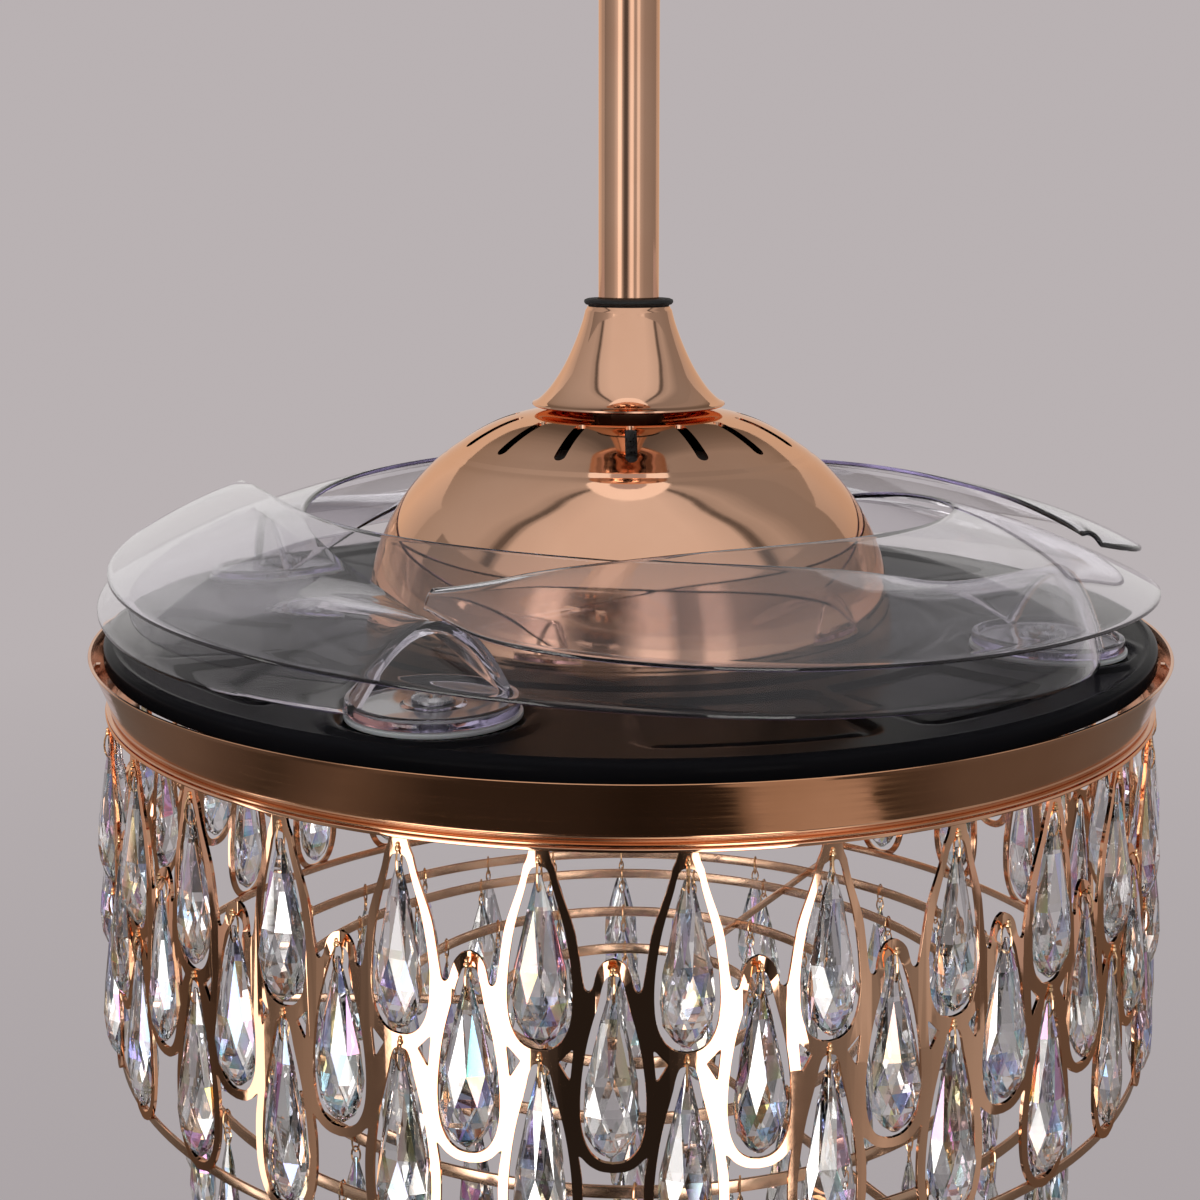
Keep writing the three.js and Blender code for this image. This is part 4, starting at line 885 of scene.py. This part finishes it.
def make_crystals():
    for row in range(3):
        first = CAGE_TURN + (0 if row == 1 else 180 / CAGE_COLUMNS)
        azimuths = [first + i * 360 / CAGE_COLUMNS for i in range(CAGE_COLUMNS)]
        top, length = ROW_TOPS[row] - 3, ROW_HEIGHTS[row] - 5
        radius = CAGE_RADIUS - CAGE_SHEET / 2
        loops = [(ROW_TOPS[row] - 3.4, 2.4, 5.4, 0.42, 0.0)]
        wires = hang_crystals(f"crystals_row_{row + 1}", azimuths, radius, top, length, 19.6, 11.0, loops,
                              [f"crystal_row_{row + 1}"], 11 + row)
        for azimuth in azimuths:
            for height, size in ((ROW_TOPS[row] + 1.7, 1.15), (ROW_TOPS[row] + 3.2, 0.8)):
                wires.append(at_wall(bead(height, 0.9, size), azimuth, radius))
        piece(f"crystal_wires_row_{row + 1}", joined(wires), gold_wire, "fixed_frame")
    for index, (radius, count) in enumerate(zip(TIER_RADII, TIER_CRYSTALS)):
        azimuths = [i * 360 / count for i in range(count)]
        loops = [(-179.4, 1.5, 5.0, 0.42, 0.2), (-185.6, 1.7, 3.4, 0.42, 0.9)]
        wires = hang_crystals(f"crystals_tier_{index + 1}", azimuths, radius - 0.6, -186.6, 54.0, 19.4, 10.0,
                              loops, [f"crystal_tier_{index + 1}"], 31 + index)
        piece(f"crystal_wires_tier_{index + 1}", joined(wires), gold_wire, "fixed_frame")


def make_tiers():
    shapes = []
    outer = CAGE_RADIUS - CAGE_SHEET - 0.3
    hoop_foot, hoop_head = TIER_HEIGHT + 5.5, TIER_HEIGHT + 9.5
    strips = [(r, TIER_HEIGHT - STRIP_HALF, TIER_HEIGHT + STRIP_HALF) for r in TIER_RADII]
    strips.append((outer, hoop_foot, hoop_head))
    for radius, low, high in strips:
        inside = radius - STRIP_SHEET
        strip = rounded([(inside, low), (radius, low), (radius, high), (inside, high)], 0.35, 3)
        shapes.append(lathe(strip, 192))
    spoke_end = (outer - 0.6) * math.cos(math.pi / CAGE_COLUMNS)
    bars = [(0.6, (TIER_RADII[0] - 0.6, spoke_end), (-2.0, 2.0)),
            (3.0, (spoke_end - 1.2, spoke_end + 1.2), (-2.0, hoop_head - TIER_HEIGHT))]
    for half_width, (near, far), (low, high) in bars:
        section = rounded([(-half_width, TIER_HEIGHT + low), (half_width, TIER_HEIGHT + low),
                           (half_width, TIER_HEIGHT + high), (-half_width, TIER_HEIGHT + high)], 0.3, 2)
        bar = slab(section, 0.0, near, far)
        shapes += [at_wall(bar, azimuth, 0.0) for azimuth in SPOKES]
    piece("tier_frame_strips", joined(shapes), rose_strip, "fixed_frame", ["tier_frame"], 40)


# ---- light source under the motor


def make_light():
    bowl = spline([(0, -56.9), (30, -56.5), (57, -54.7), (78, -51.8), (88, -49.6), (94, -46.8),
                   (95, -45.0)], 6)
    inside = spline([(92.5, -45.0), (88, -47.4), (78, -49.6), (57, -52.6), (30, -54.4), (0, -54.8)], 6)
    piece("light_diffuser_bowl", lathe(np.vstack([bowl, inside]), 128, closed=False), opal,
          "fixed_frame", ["light_diffuser"])
    board = rounded([(0, -44.6, 0), (95, -44.6), (95, -42.6), (0, -42.6, 0)], 0.3)
    piece("led_board_disc", lathe(board, 96), led_plate, "fixed_frame", ["led_board"])


CARRIED = {
    "hanger_ball_pin": steel, "yoke": zinc, "clevis_pin": steel, "motor_shaft": steel,
    "stator_core": silicon_steel, "stator_winding_upper": copper, "stator_winding_lower": copper,
    "rotor_case_lower": aluminium, "rotor_case_upper": aluminium, "rotor_magnet_ring": ferrite,
    "bearing_lower": steel, "bearing_upper": steel, "light_spider": zinc, "light_nut": steel,
    "led_driver": white_shell,
}


def dress_carried():
    for name, material in CARRIED.items():
        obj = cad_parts[name]
        obj.data.materials.clear()
        obj.data.materials.append(material)
        bevel = obj.modifiers.new("eased_edges", "BEVEL")
        bevel.width = 0.0003
        bevel.segments = 2
        bevel.limit_method = "ANGLE"
        bevel.angle_limit = math.radians(50)


make_hanger()
make_rod()
make_dome()
make_tray()
make_blades()
make_pivots()
make_ring()
make_cage()
make_crystals()
make_tiers()
make_light()
dress_carried()

# ---- camera, floor and light

WALL = (0.485, 0.443, 0.450)
WALL_LOW = (0.398, 0.362, 0.372)
FLOOR = -1.3
PANEL_DISTANCE = 1.9


def make_camera():
    data = bpy.data.cameras.new("camera")
    data.lens, data.sensor_width = 54.41, 36.0
    data.shift_x, data.shift_y = 0.0035, -0.15
    data.clip_start, data.clip_end = 0.05, 60
    camera = scene.camera = linked("camera", data)
    camera.location = (-0.0145, -0.80116, RIM + 0.18168)
    camera.rotation_euler = (math.radians(90 - 6.4), 0, 0)


def panel(name, azimuth, elevation, size, level):
    """A soft box that faces the rim, given as directions from it and the brightness of its face."""
    a, e = math.radians(azimuth), math.radians(elevation)
    away = Vector((math.sin(a) * math.cos(e), -math.cos(a) * math.cos(e), math.sin(e)))
    data = bpy.data.lights.new(name, "AREA")
    data.shape, data.size, data.size_y = "RECTANGLE", *size
    data.energy = level * math.pi * size[0] * size[1]
    light = linked(name, data)
    light.location = Vector((0, 0, RIM)) + PANEL_DISTANCE * away
    light.rotation_euler = (-away).to_track_quat("-Z", "Y").to_euler()
    light.visible_camera = light.visible_glossy = light.visible_transmission = False


def seen_factor(tree):
    """1 for camera, mirror and through-glass rays, which see the plain background."""
    path = new_node(tree, "ShaderNodeLightPath").outputs
    seen = path["Is Camera Ray"]
    for kind in ("Is Glossy Ray", "Is Transmission Ray"):
        seen = new_node(tree, "ShaderNodeMath", {0: seen, 1: path[kind]}, operation="MAXIMUM").outputs[0]
    return seen


def make_world():
    world = bpy.data.worlds.new("studio")
    scene.world = world
    world.use_nodes = True
    tree = world.node_tree
    tree.nodes.clear()
    inputs = {0: seen_factor(tree)}
    for k, (colour, strength) in enumerate([((0.95, 0.93, 0.95), 0.45), (WALL, 1.0)]):
        background = new_node(tree, "ShaderNodeBackground", {"Color": (*colour, 1), "Strength": strength})
        inputs[k + 1] = background.outputs[0]
    mix = new_node(tree, "ShaderNodeMixShader", inputs)
    new_node(tree, "ShaderNodeOutputWorld", {"Surface": mix.outputs[0]})


def make_floor():
    bpy.ops.mesh.primitive_circle_add(vertices=96, radius=14.0, fill_type="NGON", location=(0, 0, FLOOR))
    floor = bpy.context.object
    floor.name = "floor"
    n = Nodes("pale_floor")
    n.set(Base_Color=(0.62, 0.58, 0.58), Roughness=0.8, Specular_IOR_Level=0.1)
    distance = n.node("ShaderNodeVectorMath", {0: n.coordinates}, operation="LENGTH").outputs["Value"]
    colour = n.blend(n.spread(distance, 0, 1, 0.8, 4.0), WALL_LOW, WALL)
    glow = n.node("ShaderNodeEmission", {"Strength": 1.0, "Color": colour})
    far = n.spread(distance, 0, 1, 0.75, 1.05)
    factor = n.node("ShaderNodeMath", {0: far, 1: seen_factor(n.tree)}, operation="MULTIPLY").outputs[0]
    mix = n.node("ShaderNodeMixShader", {0: factor, 1: n.shader.outputs[0], 2: glow.outputs[0]})
    n.finish_with(mix.outputs[0])
    floor.data.materials.append(n.material)


def board(name, stops, edges, colour=(1.0, 0.97, 0.94), mirrored=True):
    """A curved board, as a studio sets white and black ones round shiny things, which only light that has
    been mirrored somewhere sees, or only light mirrored inside glass. Its stops are pairs of azimuth and
    brightness, and its edges are two points of (radius, height) in metres from the rim."""
    azimuths, levels = np.array(stops, float).T
    sweep = np.unique(np.concatenate([np.arange(azimuths[0], azimuths[-1], 4.0), azimuths]))
    points = np.vstack([polar(radius, sweep, RIM + height) for radius, height in edges])
    mesh = bpy.data.meshes.new(name)
    mesh.from_pydata(points.tolist(), [], grid_faces(2, len(sweep)))
    glow = mesh.attributes.new("glow", "FLOAT", "POINT")
    glow.data.foreach_set("value", np.tile(np.interp(sweep, azimuths, levels), 2).astype(np.float32))
    card = linked(name, mesh)
    n = Nodes(name)
    n.set(Base_Color=(0, 0, 0), Roughness=1.0, Specular_IOR_Level=0.0, Emission_Color=colour)
    n.feed("Emission Strength", n.node("ShaderNodeAttribute", attribute_name="glow").outputs["Fac"])
    mirrorings = n.node("ShaderNodeLightPath").outputs["Glossy Depth"]
    once = n.node("ShaderNodeMath", {0: mirrorings, 1: 1.0}, operation="MINIMUM").outputs[0]
    clear = n.node("ShaderNodeBsdfTransparent")
    mix = n.node("ShaderNodeMixShader", {0: once, 1: clear.outputs[0], 2: n.shader.outputs[0]})
    n.finish_with(mix.outputs[0])
    card.data.materials.append(n.material)
    card.visible_camera = card.visible_diffuse = card.visible_shadow = False
    card.visible_glossy = mirrored


def stripes(first, last, widths, levels):
    """Stops of hard-edged stripes whose widths and levels repeat."""
    stops, azimuth, k = [], first, 0
    while azimuth < last:
        width, level = widths[k % len(widths)], levels[k % len(levels)]
        stops += [(azimuth, level), (azimuth + width - 0.1, level)]
        azimuth, k = azimuth + width, k + 1
    return stops


WHITE, BLACK = 4.2, 0.02


def make_light_set():
    panel("top_front", 0, 58, (2.0, 1.5), 0.9)
    panel("top_back", 180, 62, (2.0, 1.3), 0.75)
    panel("left_top", -95, 50, (1.2, 1.4), 0.6)
    panel("right_top", 95, 50, (1.2, 1.4), 0.6)
    # the cage mirrors what stands round it
    board("round_cage", [(-77.5, 0.24), (-77, 2.6), (-72, 2.6), (-71.5, 0.12), (-60, 0.3), (-52, 0.14),
                         (-44.5, 0.1), (-44, WHITE), (-18, WHITE), (-17.5, 0.1), (-12, BLACK), (6, BLACK),
                         (11, 0.08), (11.5, WHITE), (27.6, WHITE), (28, 0.14), (38, 0.2), (46, 0.5),
                         (52, 0.22), (70, 0.42)], [(0.95, -0.16), (0.95, -0.86)])
    # stripes behind the crystals, which break up in their facets
    pattern = stripes(92, 268, (3.0, 5.0, 2.0, 4.0, 6.0), (0.5, 0.12, 1.9, 0.4, 0.75, 0.06, 0.6))
    board("behind_crystals", pattern, [(0.8, -0.1), (0.8, -0.85)], (1.0, 0.96, 0.95), mirrored=False)
    # what the band of the ring mirrors lies on the floor right under it
    board("under_ring", [(-180, 0.16), (-110, 0.14), (-85, 0.05), (-66, 0.14), (-45, 0.04), (-12, 0.03),
                         (0, BLACK), (21, 0.03), (27, 0.42), (53, 0.46), (54, 0.05), (75, 0.12), (110, 0.15),
                         (180, 0.16)], [(0.24, -0.62), (1.7, -0.62)], (1.0, 0.85, 0.74))
    # the dome mirrors a bright front with dark edges, dimmer sides, and a back that is dark high up
    board("round_dome", [(-122, 0.42), (-105, 0.46), (-85, 0.5), (-76, 0.42), (-72, 0.14), (-69, 0.14),
                         (-64, 0.66), (-40, 0.76), (40, 0.76), (64, 0.64), (69, 0.14), (72, 0.14),
                         (76, 0.42), (85, 0.48), (100, 0.3), (122, 0.3)], [(2.3, 0.05), (0.5, 2.3)])
    board("back_low", [(122, 0.5), (140, 0.62), (155, 0.7), (215, 0.76), (238, 0.5)],
          [(2.3, 0.0), (2.1, 1.15)])
    board("back_high", [(122, 0.32), (142, 0.34), (155, 0.2), (170, 0.12), (192, 0.12), (210, 0.32),
                        (238, 0.42)], [(2.1, 1.15), (0.5, 2.3)])
    board("overhead", [(-180, 1.1), (180, 1.1)], [(0.58, 2.3), (0.22, 2.3)])
    # the rod mirrors upright strips
    board("rod_strips", [(-106, 0.25), (-75, 0.34), (-60, 0.42), (-45, 0.7), (-40, 1.35), (-31, 1.35),
                         (-25, 0.4), (-17, 0.1), (-7, 0.1), (-2, 0.4), (6, 1.15), (14, 1.15), (20, 0.4),
                         (28, 0.5), (31, 1.0), (38, 1.0), (44, 0.5), (60, 0.36), (106, 0.3)],
          [(1.6, -0.12), (1.6, 0.8)])


make_camera()
make_world()
make_floor()
make_light_set()
scene.view_settings.view_transform = "Standard"
scene.cycles.max_bounces = 28
scene.cycles.transmission_bounces = 24
scene.cycles.glossy_bounces = 8
scene.cycles.transparent_max_bounces = 16
